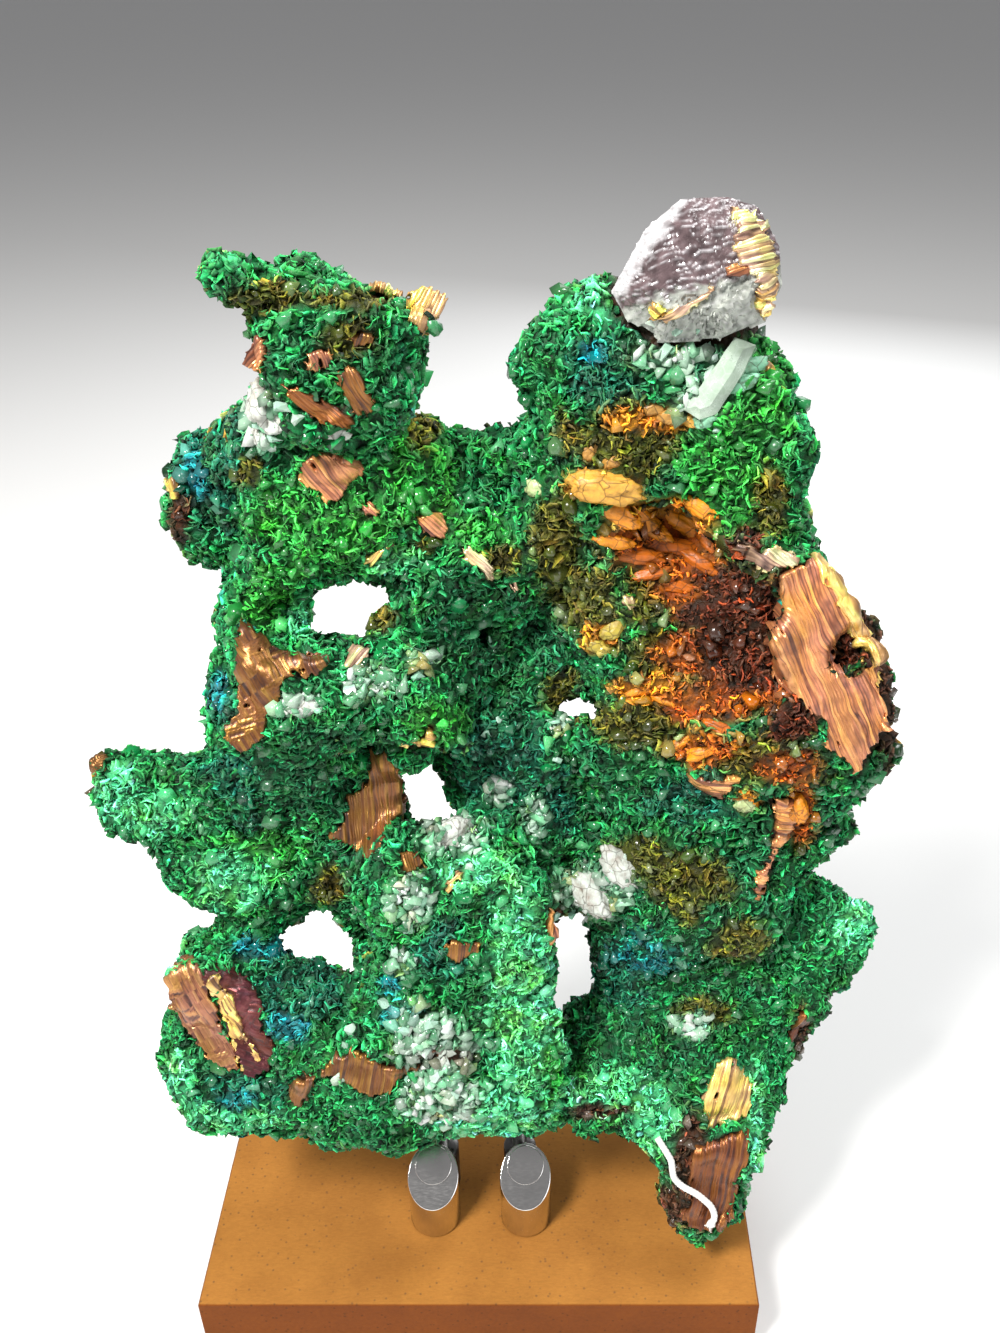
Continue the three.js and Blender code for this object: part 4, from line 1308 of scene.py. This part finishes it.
def copied_mesh(name, places, faces):
    """One mesh of many copies of a shape: places has a row of corners for each copy."""
    copies, corners = places.shape[:2]
    all_faces = (faces[None] + (np.arange(copies) * corners)[:, None, None]).reshape(-1, faces.shape[1])
    mesh = bpy.data.meshes.new(name)
    mesh.vertices.add(copies * corners)
    mesh.vertices.foreach_set("co", places.ravel())
    mesh.loops.add(all_faces.size)
    mesh.loops.foreach_set("vertex_index", all_faces.ravel().astype(np.int32))
    mesh.polygons.add(len(all_faces))
    mesh.polygons.foreach_set("loop_start", np.arange(len(all_faces), dtype=np.int32) * faces.shape[1])
    mesh.update(calc_edges=True)
    mesh.validate()
    return mesh


def unit(vectors):
    """Vectors at length one."""
    return vectors / np.linalg.norm(vectors, axis=-1, keepdims=True)


def fin_arrays():
    """A three-cornered fin in two lengths, sharp along its top, as triangles."""
    bm = bmesh.new()
    rings = [[bm.verts.new((x, y, z)) for y, z in ((-1, -1), (1, -1), (0, 1))] for x in (-1, 0, 1)]
    bm.faces.new(rings[0])
    bm.faces.new(rings[-1])
    for one, other in zip(rings, rings[1:]):
        for corner in range(3):
            after = (corner + 1) % 3
            bm.faces.new((one[corner], one[after], other[after], other[corner]))
    bmesh.ops.triangulate(bm, faces=bm.faces)
    bmesh.ops.recalc_face_normals(bm, faces=bm.faces)
    bm.verts.index_update()
    return template_arrays(bm)


def leaflet_mesh(context, rng, name, seats, normals, crossing):
    """Curled leaflets: thin blades on edge along the cells' walls, bent along their length and twisted."""
    settings = context.scene.copper_leaflets
    shape, faces = fin_arrays()
    count = len(seats)

    along = unit(np.cross(normals, unit(crossing) + rng.normal(0, 0.35, (count, 3))))
    across = np.cross(normals, along)
    lean = rng.normal(0, math.radians(32), (count, 1))
    rise = unit(np.cos(lean) * normals + np.sin(lean) * across)
    pitch = rng.uniform(-0.4, 0.4, (count, 1))
    along = unit(np.cos(pitch) * along + np.sin(pitch) * rise)
    rise = unit(rise - along * (rise * along).sum(axis=1, keepdims=True))
    flat = np.cross(rise, along)

    patchy = 1 + 0.55 * cloud(seats, 11 * MM, 2.0) - 0.3 * zone_shares(seats, "rust")
    size = rng.uniform(0.6, 1.25, (count, 1)) * patchy[:, None]
    half_length = size * settings.length / 2
    half_width = size * settings.width / 2 * rng.uniform(0.75, 1.25, (count, 1))
    half_thick = settings.thickness / 2 * rng.uniform(0.7, 1.3, (count, 1))
    taper = 1 - 0.42 * shape[:, 0] ** 2 * rng.uniform(0.3, 1.3, (count, 1))
    twist = rng.uniform(-0.55, 0.55, (count, 1)) * shape[:, 0]
    flat_part = half_thick * shape[:, 1]
    rise_part = half_width * shape[:, 2] * taper
    curl = rng.uniform(-0.75, 0.75, (count, 1)) * half_length * shape[:, 0] ** 2
    roll = rng.uniform(-0.5, 0.5, (count, 1)) * half_width * np.clip(shape[:, 2], 0, 1)
    x = half_length * shape[:, 0]
    y = flat_part * np.cos(twist) - rise_part * np.sin(twist) + curl + roll
    z = flat_part * np.sin(twist) + rise_part * np.cos(twist) + 0.3 * half_width
    places = (
        seats[:, None]
        + x[..., None] * along[:, None]
        + y[..., None] * flat[:, None]
        + z[..., None] * rise[:, None]
    )
    mesh = copied_mesh(name, places, faces)

    facing = facing_shares(seats, normals)
    tone = rng.lognormal(0.0, 0.55, (count, 1))
    tint = rng.normal(1.0, 0.1, (count, 3))
    colours = crust_colours(context, seats, facing) * tone * tint
    # Painted shade and highlight: a leaflet's relief runs from about 0 at its foot to about 0.9 at its tip,
    # so the crust's material darkens its foot and brightens its tip.
    painted_shade_to_highlight = np.tile(0.46 + 0.46 * shape[:, 2], (count, 1)) + rng.normal(0, 0.07, (count, 1))
    give_colour(mesh, "mineral", np.repeat(np.clip(colours, 0, 1), len(shape), axis=0))
    give_number(mesh, "relief", painted_shade_to_highlight.ravel())
    return mesh


def chunk_arrays(rng, points=9):
    """A faceted chunk of crystal as triangles: the hull of a few points on a ball."""
    bm = bmesh.new()
    for place in unit(rng.normal(size=(points, 3))):
        bm.verts.new(place)
    hull = bmesh.ops.convex_hull(bm, input=bm.verts)
    bmesh.ops.delete(bm, geom=[*hull["geom_interior"], *hull["geom_unused"]], context="VERTS")
    bmesh.ops.triangulate(bm, faces=bm.faces)
    bmesh.ops.recalc_face_normals(bm, faces=bm.faces)
    bm.verts.index_update()
    return template_arrays(bm)


def grain_mesh(context, rng, name, seats, normals):
    """Blocky grains, each a faceted chunk turned its own way."""
    shape, faces = chunk_arrays(rng)
    count = len(seats)
    settings = context.scene.copper_leaflets
    size = settings.grain_size / 2 * rng.uniform(0.45, 1.45, (count, 1, 1))
    turned = np.array([random_turn(rng) for _ in range(count)])
    stretch = rng.uniform(0.7, 1.3, (count, 1, 3))
    places = seats[:, None] + np.einsum("nij,nkj->nki", turned, shape[None] * stretch * size)
    places = places + normals[:, None] * 0.2 * size
    mesh = copied_mesh(name, places, faces)
    facing = facing_shares(seats, normals)
    greens = crust_colours(context, seats, facing)
    white_zone = 0.1 + 0.9 * zone_shares(seats, "cloudy white")
    whiten = rng.uniform(0.0, 0.95, (count, 1)) ** 1.6 * white_zone[:, None]
    tone = rng.lognormal(0.1, 0.4, (count, 1))
    rusty = np.clip(3 * cloud(seats, 8 * MM, 13) - 0.7, 0, 1)[:, None]
    pale = np.array([0.82, 0.9, 0.84]) * (1 - rusty) + np.array([0.56, 0.42, 0.14]) * rusty
    colours = np.clip((greens * (1 - whiten) + pale * whiten) * tone, 0, 1)
    give_colour(mesh, "mineral", np.repeat(colours, len(shape), axis=0))
    return mesh


def random_turn(rng):
    """A random rotation as rows of numbers."""
    matrix, _ = np.linalg.qr(rng.normal(size=(3, 3)))
    if np.linalg.det(matrix) < 0:
        matrix[:, 0] *= -1
    return matrix


def body_tree(mesh):
    """A body's surface, ready to be met by lines of sight."""
    places, _, corners = surface_arrays(mesh)
    return BVHTree.FromPolygons([tuple(place) for place in places], [tuple(face) for face in corners])


def crust_tree(context):
    """The crust's lumpy body, ready to be met by lines of sight."""
    return body_tree(bpy.data.meshes[context.scene["copper_body"]])


def meeting(tree, across, down):
    """Where the nearest line of sight that meets the crust's body does so: place, normal and distance."""
    for reach in range(0, 60, 5):
        for eighth in range(8):
            angle = math.pi * eighth / 4
            ray = sight(across + reach * math.cos(angle), down + reach * math.sin(angle))
            place, normal, _, distance = tree.ray_cast(EYE, ray)
            if place is not None:
                return place, normal, distance
    raise RuntimeError(f"no surface near {across:.0f}, {down:.0f}")


def resting_plane(tree, outline):
    """A flat middle place and a normal of the surface behind an outline, with outlying hits left out."""
    corners = np.array(outline, float)
    middle = corners.mean(axis=0)
    hits = []
    for inward in (0.1, 0.35, 0.6, 0.9):
        for corner in corners:
            spot = corner + (middle - corner) * inward
            place, normal, _, distance = tree.ray_cast(EYE, sight(*spot))
            if place is not None:
                hits.append((distance, place, normal))
    usual = float(np.median([hit[0] for hit in hits]))
    near = [hit for hit in hits if abs(hit[0] - usual) < 9 * MM]
    place = sum((hit[1] for hit in near), Vector()) / len(near)
    normal = sum((hit[2] for hit in near), Vector()).normalized()
    towards = (EYE - place).normalized()
    return place, (normal + 0.7 * towards).normalized()


def on_plane(spot, place, normal):
    """Where the eye sees a view place on a plane."""
    ray = sight(*spot)
    return EYE + ray * ((place - EYE).dot(normal) / ray.dot(normal))


class COPPER_OT_sheets(bpy.types.Operator):
    """Lay the grooved sheets of bare copper on the crust"""

    bl_idname = "copper.sheets"
    bl_label = "Copper sheets"

    def execute(self, context):
        tree = crust_tree(context)
        crystal = body_tree(bpy.data.objects["large_crystal"].data)
        material = copper_material()
        for name, sheet in SHEETS.items():
            ground = crystal if name.startswith("crystal") else tree
            mesh = sheet_mesh(context, ground, f"copper_{name}", sheet)
            add_piece(context, mesh.name, mesh, material)
        mesh = nugget_mesh(context, tree, "copper_spur_tip", (100, 768), (10, 12))
        add_piece(context, mesh.name, mesh, material)
        return {"FINISHED"}


def groove_profile(context, along, across, woven, start):
    """The height of the grooves at a place of a sheet, from 0 to 1, and the strip it lies in."""
    pitch = context.scene.copper_sheets.pitch
    if woven:
        patch = noise.cell(Vector((along / (4.6 * pitch) + start, across / (4.6 * pitch), start)))
        turn = math.radians(74) if patch > 0.5 else 0.0
        along, across = (
            along * math.cos(turn) - across * math.sin(turn),
            along * math.sin(turn) + across * math.cos(turn),
        )
        start += 7 * patch
    wander = 0.3 * noise.noise(Vector((along / (20 * pitch), across / (8 * pitch), start)))
    strip = across / pitch + wander
    share = strip - math.floor(strip)
    ridge = 1 - abs(2 * share - 1) ** 2.6
    own = noise.cell(Vector((math.floor(strip), start, 0.5)))
    breaks = noise.noise(Vector((along / (2.6 * pitch), math.floor(strip) * 3.7, start)))
    streak = noise.noise(Vector((along / (5 * pitch), across / (0.45 * pitch), start + 3)))
    return ridge * (0.66 + 0.5 * own + 0.3 * breaks + 0.25 * streak), own + 0.6 * streak + 0.35 * breaks


def sheet_mesh(context, tree, name, sheet):
    """A sheet of copper that follows the crust's body behind its outline, with grooves and a ragged edge."""
    settings = context.scene.copper_sheets
    outline = np.array(sheet["outline"], float)
    turn = math.radians(sheet["grooves"])
    woven = sheet.get("woven", False)
    way = np.array([math.cos(turn), math.sin(turn)])
    side = np.array([-way[1], way[0]])
    middle = outline.mean(axis=0)
    spans = np.column_stack([(outline - middle) @ way, (outline - middle) @ side])
    low, high = spans.min(axis=0), spans.max(axis=0)
    steps = (1.4, 1.2) if woven else (3.0, 0.9)
    counts = [max(3, round((high[axis] - low[axis]) / steps[axis])) for axis in range(2)]
    start = sum(ord(letter) for letter in name) % 97

    bm = bmesh.new()
    relief_layer = bm.verts.layers.float.new("relief")
    tone_layer = bm.verts.layers.float.new("tone")
    bmesh.ops.create_grid(bm, x_segments=counts[0], y_segments=counts[1], size=1)
    spots = {}
    for vert in bm.verts:
        share = np.array([vert.co.x, vert.co.y])
        along, across = (low + high) / 2 + share * (high - low) / 2
        spots[vert] = middle + way * along + side * across
    far = [face for face in bm.faces if not face_kept(face, spots, sheet, start)]
    bmesh.ops.delete(bm, geom=far, context="FACES")

    place, normal = resting_plane(tree, outline)
    for vert in bm.verts:
        spot = spots[vert]
        flat = on_plane(spot, place, normal)
        hit = tree.ray_cast(EYE, sight(*spot))[0]
        rise = (hit - flat).dot(normal) if hit is not None else 0.0
        vert.co = flat + normal * min(max(rise, -SHEET_DIP), SHEET_RISE)
    for _ in range(6):
        bmesh.ops.smooth_vert(
            bm, verts=bm.verts, factor=0.5, use_axis_x=True, use_axis_y=True, use_axis_z=True
        )
    for face in bm.faces:
        if face.normal.dot(normal) < 0:
            face.normal_flip()
    bm.normal_update()

    scale = (place - EYE).length / VIEW_FOCAL
    for vert in bm.verts:
        offset = spots[vert] - middle
        vert[relief_layer], vert[tone_layer] = groove_profile(
            context, offset @ way * scale, offset @ side * scale, woven, start
        )
        edge = 0.8 * MM if vert.is_boundary else 0.0
        lift = settings.lift + sheet.get("over", 0.0)
        vert.co += vert.normal * (lift + settings.depth * (vert[relief_layer] - 0.5) - edge)
    bmesh.ops.solidify(bm, geom=bm.faces, thickness=settings.thickness)
    bmesh.ops.recalc_face_normals(bm, faces=bm.faces)
    mesh = mesh_of(name, bm, smooth=True)

    places, _, _ = surface_arrays(mesh)
    own = np.zeros(len(mesh.vertices), np.float32)
    mesh.attributes["tone"].data.foreach_get("value", own)
    base = np.array(getattr(settings, sheet["finish"]))
    spread = np.clip(0.84 + 0.4 * own + 0.35 * cloud(places, 9 * MM, start), 0.3, 1.6)
    drift = cloud(places, 6 * MM, start + 5)
    warm = np.column_stack([np.ones(len(own)), 0.88 + 0.18 * own, 0.8 + 0.4 * drift])
    give_colour(mesh, "mineral", np.clip(base * spread[:, None] * warm, 0, 1))
    return mesh


def face_kept(face, spots, sheet, start):
    """Whether a face lies inside the sheet's outline, once that has a ragged edge, and outside its pit."""
    spot = sum((spots[vert] for vert in face.verts), np.zeros(2)) / len(face.verts)
    ragged = Vector((spot[0] / 5, spot[1] / 5, start))
    spot = spot + 5.5 * np.array([noise.noise(ragged), noise.noise(ragged + Vector((9, 4, 2)))])
    gap = noise.noise(Vector((spot[0] / 9, spot[1] / 9, start + 20))) + 0.4 * noise.noise(ragged * 1.5)
    return inside(spot[None], sheet["outline"])[0] and gap < 0.8 and not in_pit(spot[None], sheet)[0]


def in_pit(places, sheet):
    """Which view places lie in the sheet's pit, if it has one."""
    if "pit" not in sheet:
        return np.zeros(len(places), bool)
    across, down, half_width, half_height = sheet["pit"]
    return np.hypot((places[:, 0] - across) / half_width, (places[:, 1] - down) / half_height) < 1


def nugget_mesh(context, tree, name, spot, half_sizes):
    """A rounded end of copper with grooves across it, at a view place."""
    settings = context.scene.copper_sheets
    hit, _, distance = meeting(tree, *spot)
    scale = distance / VIEW_FOCAL
    bm = bmesh.new()
    bmesh.ops.create_icosphere(bm, subdivisions=5, radius=1)
    relief_layer = bm.verts.layers.float.new("relief")
    for vert in bm.verts:
        direction = vert.co.copy()
        across = (direction.z + 0.25 * direction.x) * half_sizes[1] * scale
        strip = across / (0.8 * settings.pitch) + 0.5 * noise.noise(direction * 3)
        share = strip - math.floor(strip)
        ridge = 1 - abs(2 * share - 1) ** 2
        swell = 1 + 0.16 * noise.noise(direction * 1.8)
        reach = Vector((half_sizes[0], 0.8 * half_sizes[0], half_sizes[1])) * scale * swell
        body = Vector(part * size for part, size in zip(direction, reach))
        vert.co = hit + Vector((0, 0.4 * half_sizes[0] * scale, 0)) + body + direction * 0.35 * MM * ridge
        vert[relief_layer] = 0.35 + 0.65 * ridge
    mesh = mesh_of(name, bm, smooth=True)
    places, _, _ = surface_arrays(mesh)
    tones = 0.85 + 0.5 * cloud(places, 3 * MM, 4)
    give_colour(mesh, "mineral", np.array(settings.brown)[None] * tones[:, None])
    return mesh


class COPPER_OT_quartz(bpy.types.Operator):
    """Set the large striated crystal, its plank and the cloudy crystals"""

    bl_idname = "copper.quartz"
    bl_label = "Quartz"

    def execute(self, context):
        settings = context.scene.copper_quartz
        tree = crust_tree(context)
        smoky = quartz_material("smoky_quartz", (0.8, 0.8, 0.8), (1.0, 1.0, 1.0), 0.16)
        mesh = crystal_mesh(tree, "large_crystal", settings)
        add_piece(context, mesh.name, mesh, smoky)
        milky = quartz_in_use(context)
        mesh = plank_mesh(tree, "pale_plank")
        add_piece(context, mesh.name, mesh, milky)
        mesh = boulder_mesh(tree, "cloudy_crystals")
        add_piece(context, mesh.name, mesh, milky)
        return {"FINISHED"}


def prism_mesh(tree, outline, thickness, proud, bevel, fine):
    """A crystal with a flat face that follows an outline and is bevelled all round, as a bmesh."""
    place, normal = resting_plane(tree, outline)
    bm = bmesh.new()
    base = bm.faces.new([bm.verts.new(on_plane(spot, place, normal) + normal * proud) for spot in outline])
    bm.normal_update()
    if base.normal.dot(normal) < 0:
        base.normal_flip()
    sides = bmesh.ops.extrude_face_region(bm, geom=[base], use_keep_orig=True)
    back = [item for item in sides["geom"] if isinstance(item, bmesh.types.BMVert)]
    bmesh.ops.translate(bm, verts=back, vec=-normal * thickness)
    bmesh.ops.recalc_face_normals(bm, faces=bm.faces)
    bmesh.ops.bevel(
        bm,
        geom=list(base.edges),
        offset=bevel,
        segments=1,
        profile=0.5,
        affect="EDGES",
        material=-1,
        clamp_overlap=True,
    )
    bmesh.ops.triangulate(bm, faces=bm.faces)
    behind = place - normal * 0.3 * thickness
    for _ in range(7):
        long = [
            edge
            for edge in bm.edges
            if edge.calc_length() > (fine if (edge.verts[0].co - behind).dot(normal) > 0 else 5 * MM)
        ]
        if not long:
            break
        bmesh.ops.subdivide_edges(bm, edges=long, cuts=1)
        bmesh.ops.triangulate(bm, faces=bm.faces)
    bmesh.ops.recalc_face_normals(bm, faces=bm.faces)
    bm.normal_update()
    return bm


def crystal_mesh(tree, name, settings):
    """The large crystal: a smoky face with rows of short striae, a milky left bevel and a cloudy foot."""
    outline = grown(TOP_CRYSTAL, 1.04)
    bm = prism_mesh(tree, outline, settings.thickness, CRYSTAL_PROUD, CRYSTAL_BEVEL, 0.75 * MM)
    colour_layer = bm.verts.layers.float_color.new("mineral")
    seen = view_places([vert.co[:] for vert in bm.verts])
    moved = []
    for vert, spot in zip(bm.verts, seen):
        fleck = Vector((spot[0] / 9, spot[1] / 9, 0.4))
        along = spot[0] + 0.25 * spot[1]
        row = (spot[1] + 0.3 * spot[0]) / 6.2 + 0.7 * noise.noise(fleck * 0.8)
        share = row - math.floor(row)
        dash = noise.noise(Vector((along / 11, 5.3 * math.floor(row), 2.2)))
        stria = max(0.0, 1 - abs(2 * share - 1) * 2.3) * min(1.0, max(0.0, 3 * dash + 0.55))
        left = min(1.0, max(0.0, (662 - (spot[0] + 0.62 * (spot[1] - 240))) / 9 + noise.noise(fleck)))
        below = (spot[1] - 286 + 0.25 * (spot[0] - 690)) / 8
        low = min(1.0, max(0.0, below + 1.2 * noise.noise(fleck * 1.4)))
        smoky = Vector(settings.smoky) * (1 + 0.8 * noise.noise(fleck * 1.1))
        milky = Vector(shade(206, 204, 206)) * (1 + 0.5 * noise.noise(fleck * 2.1))
        cloudy = Vector(shade(168, 172, 164)) * (1 + 0.8 * noise.noise(fleck * 1.7))
        colour = smoky.lerp(milky, left).lerp(cloudy, low)
        colour = colour.lerp(Vector(shade(226, 222, 226)), 0.8 * stria * (1 - 0.6 * low))
        vert[colour_layer] = (*[max(0.02, part) for part in colour], 1)
        step = math.floor(2.5 * noise.noise(fleck * 0.55 + Vector((0, 0, 3)))) / 2.5
        height = 0.3 * MM * stria * (1 - low) + 1.6 * MM * low * step + 0.12 * MM * noise.noise(fleck * 4)
        moved.append(vert.co + vert.normal * height)
    for vert, spot in zip(bm.verts, moved):
        vert.co = spot
    return mesh_of(name, bm)


def plank_mesh(tree, name):
    """The pale plank of crystal below the large one."""
    bm = prism_mesh(tree, PLANK, PLANK_THICKNESS, PLANK_PROUD, PLANK_BEVEL, 1.4 * MM)
    moved = [vert.co + 0.25 * MM * noise.noise(vert.co / (3 * MM)) * vert.normal for vert in bm.verts]
    for vert, spot in zip(bm.verts, moved):
        vert.co = spot
    mesh = mesh_of(name, bm)
    places, _, _ = surface_arrays(mesh)
    pale = np.clip(0.7 + 0.8 * cloud(places, 7 * MM, 3), 0.3, 1)[:, None]
    give_colour(mesh, "mineral", pale * np.array(shade(214, 232, 216)))
    return mesh


def boulder_mesh(tree, name):
    """Cloudy crystals, each a faceted chunk half sunk in the crust at its view place."""
    rng = np.random.default_rng(17)
    bm = bmesh.new()
    for across, down, size in BOULDERS:
        place, normal, distance = meeting(tree, across, down)
        radius = 0.64 * size * distance / VIEW_FOCAL
        shape, faces = chunk_arrays(rng, 10)
        turn = random_turn(rng)
        stretch = np.array([1, 1, rng.uniform(1.0, 1.4)])
        corners = [
            bm.verts.new(place + normal * 0.15 * radius + Vector(turn @ (corner * stretch)) * radius)
            for corner in shape
        ]
        for face in faces:
            bm.faces.new([corners[index] for index in face])
    bmesh.ops.bevel(
        bm,
        geom=bm.edges,
        offset=0.25 * MM,
        segments=1,
        profile=0.5,
        affect="EDGES",
        material=-1,
        clamp_overlap=True,
    )
    bmesh.ops.recalc_face_normals(bm, faces=bm.faces)
    mesh = mesh_of(name, bm)
    places, _, _ = surface_arrays(mesh)
    tint = cloud(places, 9 * MM, 6)[:, None]
    colours = np.array([0.62, 0.86, 0.74]) + np.array([0.35, 0.12, 0.2]) * tint
    give_colour(mesh, "mineral", np.clip(colours, 0, 1))
    return mesh


LUMP_COLOURS = {
    "ochre": shade(214, 160, 64),
    "amber": shade(230, 142, 24),
    "rusty": shade(184, 94, 14),
    "tan": shade(178, 132, 62),
    "pale": shade(172, 190, 134),
    "lemon": shade(176, 158, 60),
    "white": shade(192, 198, 190),
    "greenish": shade(132, 196, 160),
}


class COPPER_OT_lumps(bpy.types.Operator):
    """Lay the smooth iron-rich lumps in and above the rusty hollow"""

    bl_idname = "copper.lumps"
    bl_label = "Iron lumps"

    def execute(self, context):
        tree = crust_tree(context)
        bm = bmesh.new()
        colour_layer = bm.verts.layers.float_color.new("mineral")
        for order, (across, down, half_length, half_width, turn, colour) in enumerate(LUMPS):
            place, normal, distance = meeting(tree, across, down)
            scale = distance / VIEW_FOCAL
            towards = (normal + (EYE - place).normalized()).normalized()
            right = Vector((0, 0, 1)).cross(towards).normalized() * -1
            up = towards.cross(right) * -1
            angle = math.radians(turn)
            way = math.cos(angle) * right - math.sin(angle) * up
            side = towards.cross(way)
            made = bmesh.ops.create_icosphere(bm, subdivisions=4, radius=1)
            for vert in made["verts"]:
                spot = vert.co.copy()
                swell = 1 + 0.3 * noise.noise(spot * 1.3 + Vector((order, 0, 0)))
                swell += 0.26 * abs(noise.noise(spot * 3.1 + Vector((0, order, 0)))) - 0.06
                swell += 0.13 * noise.noise(spot * 8 + Vector((0, 0, order)))
                reach = (half_length * scale, half_width * scale, 0.75 * half_width * scale)
                spread = way * spot.x * reach[0] + side * spot.y * reach[1] + towards * spot.z * reach[2]
                vert.co = place + swell * spread
                vert[colour_layer] = (*LUMP_COLOURS[colour], 1)
        bmesh.ops.recalc_face_normals(bm, faces=bm.faces)
        mesh = mesh_of("iron_lumps", bm, smooth=True)
        add_piece(context, mesh.name, mesh, lump_material())
        return {"FINISHED"}


class COPPER_OT_stand(bpy.types.Operator):
    """Finish the board, the polished posts and the dark rods"""

    bl_idname = "copper.stand"
    bl_label = "Stand"

    def execute(self, context):
        settings = context.scene.copper_stand
        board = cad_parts["base_board"].data
        board.materials.clear()
        board_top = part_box("base_board")[1].z
        board.materials.append(fibreboard_material(tuple(settings.board), board_top))
        polished = steel_material("polished_steel", (0.72, 0.7, 0.68), 0.07, (1.0, 1.0, 12.0))
        satin = steel_material("satin_disc", (0.98, 0.95, 0.9), 0.42, (14.0, 1.0, 1.0))
        dark = steel_material("dark_steel", (0.16, 0.155, 0.15), 0.22, (1.0, 1.0, 10.0))
        for side in ("left", "right"):
            mesh = post_mesh(f"post_{side}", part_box(f"front_post_{side}"), settings)
            post = add_piece(context, mesh.name, mesh, polished, [f"front_post_{side}"])
            post.data.materials.append(satin)
            mesh = rod_mesh(f"rod_{side}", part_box(f"rear_rod_{side}"), settings)
            add_piece(context, mesh.name, mesh, dark, [f"rear_rod_{side}"])
        return {"FINISHED"}


def post_mesh(name, box, settings):
    """A round post with a slanted top and a low disc on the slope."""
    low, high = box
    radius = (high.x - low.x) / 2
    middle = (low + high) / 2
    rise = math.tan(settings.top_slope) * radius
    top_middle = Vector((middle.x, middle.y, high.z - rise))
    normal = Vector((0, -math.sin(settings.top_slope), math.cos(settings.top_slope)))
    uphill = Vector((0, math.cos(settings.top_slope), math.sin(settings.top_slope)))
    bm = bmesh.new()
    height = high.z - low.z
    bmesh.ops.create_cone(
        bm,
        cap_ends=True,
        segments=settings.segments,
        radius1=radius,
        radius2=radius,
        depth=height,
        matrix=Matrix.Translation((middle.x, middle.y, low.z + height / 2)),
    )
    whole = [*bm.verts, *bm.edges, *bm.faces]
    cut = bmesh.ops.bisect_plane(bm, geom=whole, plane_co=top_middle, plane_no=normal, clear_outer=True)
    rim = [item for item in cut["geom_cut"] if isinstance(item, bmesh.types.BMEdge)]
    bmesh.ops.contextual_create(bm, geom=rim)
    edges = [edge for edge in bm.edges if len(edge.link_faces) == 2 and edge.calc_face_angle() > 0.5]
    bmesh.ops.bevel(
        bm, geom=edges, offset=POST_BEVEL, segments=3, profile=0.5, affect="EDGES", material=-1
    )
    bmesh.ops.recalc_face_normals(bm, faces=bm.faces)
    for face in bm.faces:
        face.smooth = face.calc_area() < radius * radius

    bar_faces = set(bm.faces)
    slope = Matrix.Rotation(settings.top_slope, 4, "X")
    turned = Matrix.Translation(top_middle + uphill * DISC_UPHILL) @ slope
    made = bmesh.ops.create_cone(
        bm,
        cap_ends=True,
        segments=settings.segments,
        radius1=settings.disc_radius,
        radius2=settings.disc_radius,
        depth=2 * DISC_HEIGHT,
        matrix=turned,
    )
    disc_verts = set(made["verts"])
    disc_edges = [edge for edge in bm.edges if edge.verts[0] in disc_verts and edge.calc_face_angle() > 0.5]
    bmesh.ops.bevel(
        bm, geom=disc_edges, offset=DISC_BEVEL, segments=3, profile=0.5, affect="EDGES", material=-1
    )
    for face in bm.faces:
        if face not in bar_faces:
            face.smooth = face.calc_area() < radius * radius
            if face.normal.dot(normal) > 0.99:
                face.material_index = 1
    return mesh_of(name, bm)


def rod_mesh(name, box, settings):
    """A round rod with a slimmer pin standing on it."""
    low, high = box
    radius = (high.x - low.x) / 2
    middle = (low + high) / 2
    shoulder = low.z + ROD_SHOULDER
    pin = PIN_RADIUS
    soft = ROD_BEVEL
    profile = [
        (0, low.z), (radius - soft, low.z), (radius, low.z + soft), (radius, shoulder - soft),
        (radius - soft, shoulder), (pin, shoulder), (pin, high.z - pin / 2), (pin / 2, high.z), (0, high.z),
    ]
    bm = bmesh.new()
    verts = [bm.verts.new((middle.x + reach, middle.y, height)) for reach, height in profile]
    edges = [bm.edges.new(pair) for pair in zip(verts, verts[1:])]
    bmesh.ops.spin(
        bm,
        geom=[*verts, *edges],
        cent=(middle.x, middle.y, 0),
        axis=(0, 0, 1),
        angle=2 * math.pi,
        steps=settings.segments,
        use_merge=True,
    )
    bmesh.ops.remove_doubles(bm, verts=bm.verts, dist=1e-6)
    bmesh.ops.recalc_face_normals(bm, faces=bm.faces)
    return mesh_of(name, bm, smooth=True)


class COPPER_PT_panel(bpy.types.Panel):
    """Lists the steps that build the specimen"""

    bl_idname = "COPPER_PT_panel"
    bl_label = "Native Copper"
    bl_space_type = "VIEW_3D"
    bl_region_type = "UI"
    bl_category = "Native Copper"

    def draw(self, context):
        for operator in OPERATORS:
            self.layout.operator(operator.bl_idname)


OPERATORS = [
    COPPER_OT_studio,
    COPPER_OT_string,
    COPPER_OT_crust,
    COPPER_OT_leaflets,
    COPPER_OT_quartz,
    COPPER_OT_sheets,
    COPPER_OT_lumps,
    COPPER_OT_stand,
]


def register():
    """Registers the settings, the operators and the panel."""
    for name, settings in SETTINGS.items():
        bpy.utils.register_class(settings)
        setattr(bpy.types.Scene, name, bpy.props.PointerProperty(type=settings))
    for operator in OPERATORS:
        bpy.utils.register_class(operator)
    bpy.utils.register_class(COPPER_PT_panel)


def unregister():
    """Takes them away again."""
    bpy.utils.unregister_class(COPPER_PT_panel)
    for operator in reversed(OPERATORS):
        bpy.utils.unregister_class(operator)
    for name, settings in SETTINGS.items():
        delattr(bpy.types.Scene, name)
        bpy.utils.unregister_class(settings)


def main():
    """Builds the whole specimen."""
    register()
    for operator in OPERATORS:
        step = getattr(bpy.ops.copper, operator.bl_idname.split(".")[1])
        if step() != {"FINISHED"}:
            raise RuntimeError(f"{operator.bl_idname} didn't finish")


if __name__ == "__main__":
    main()
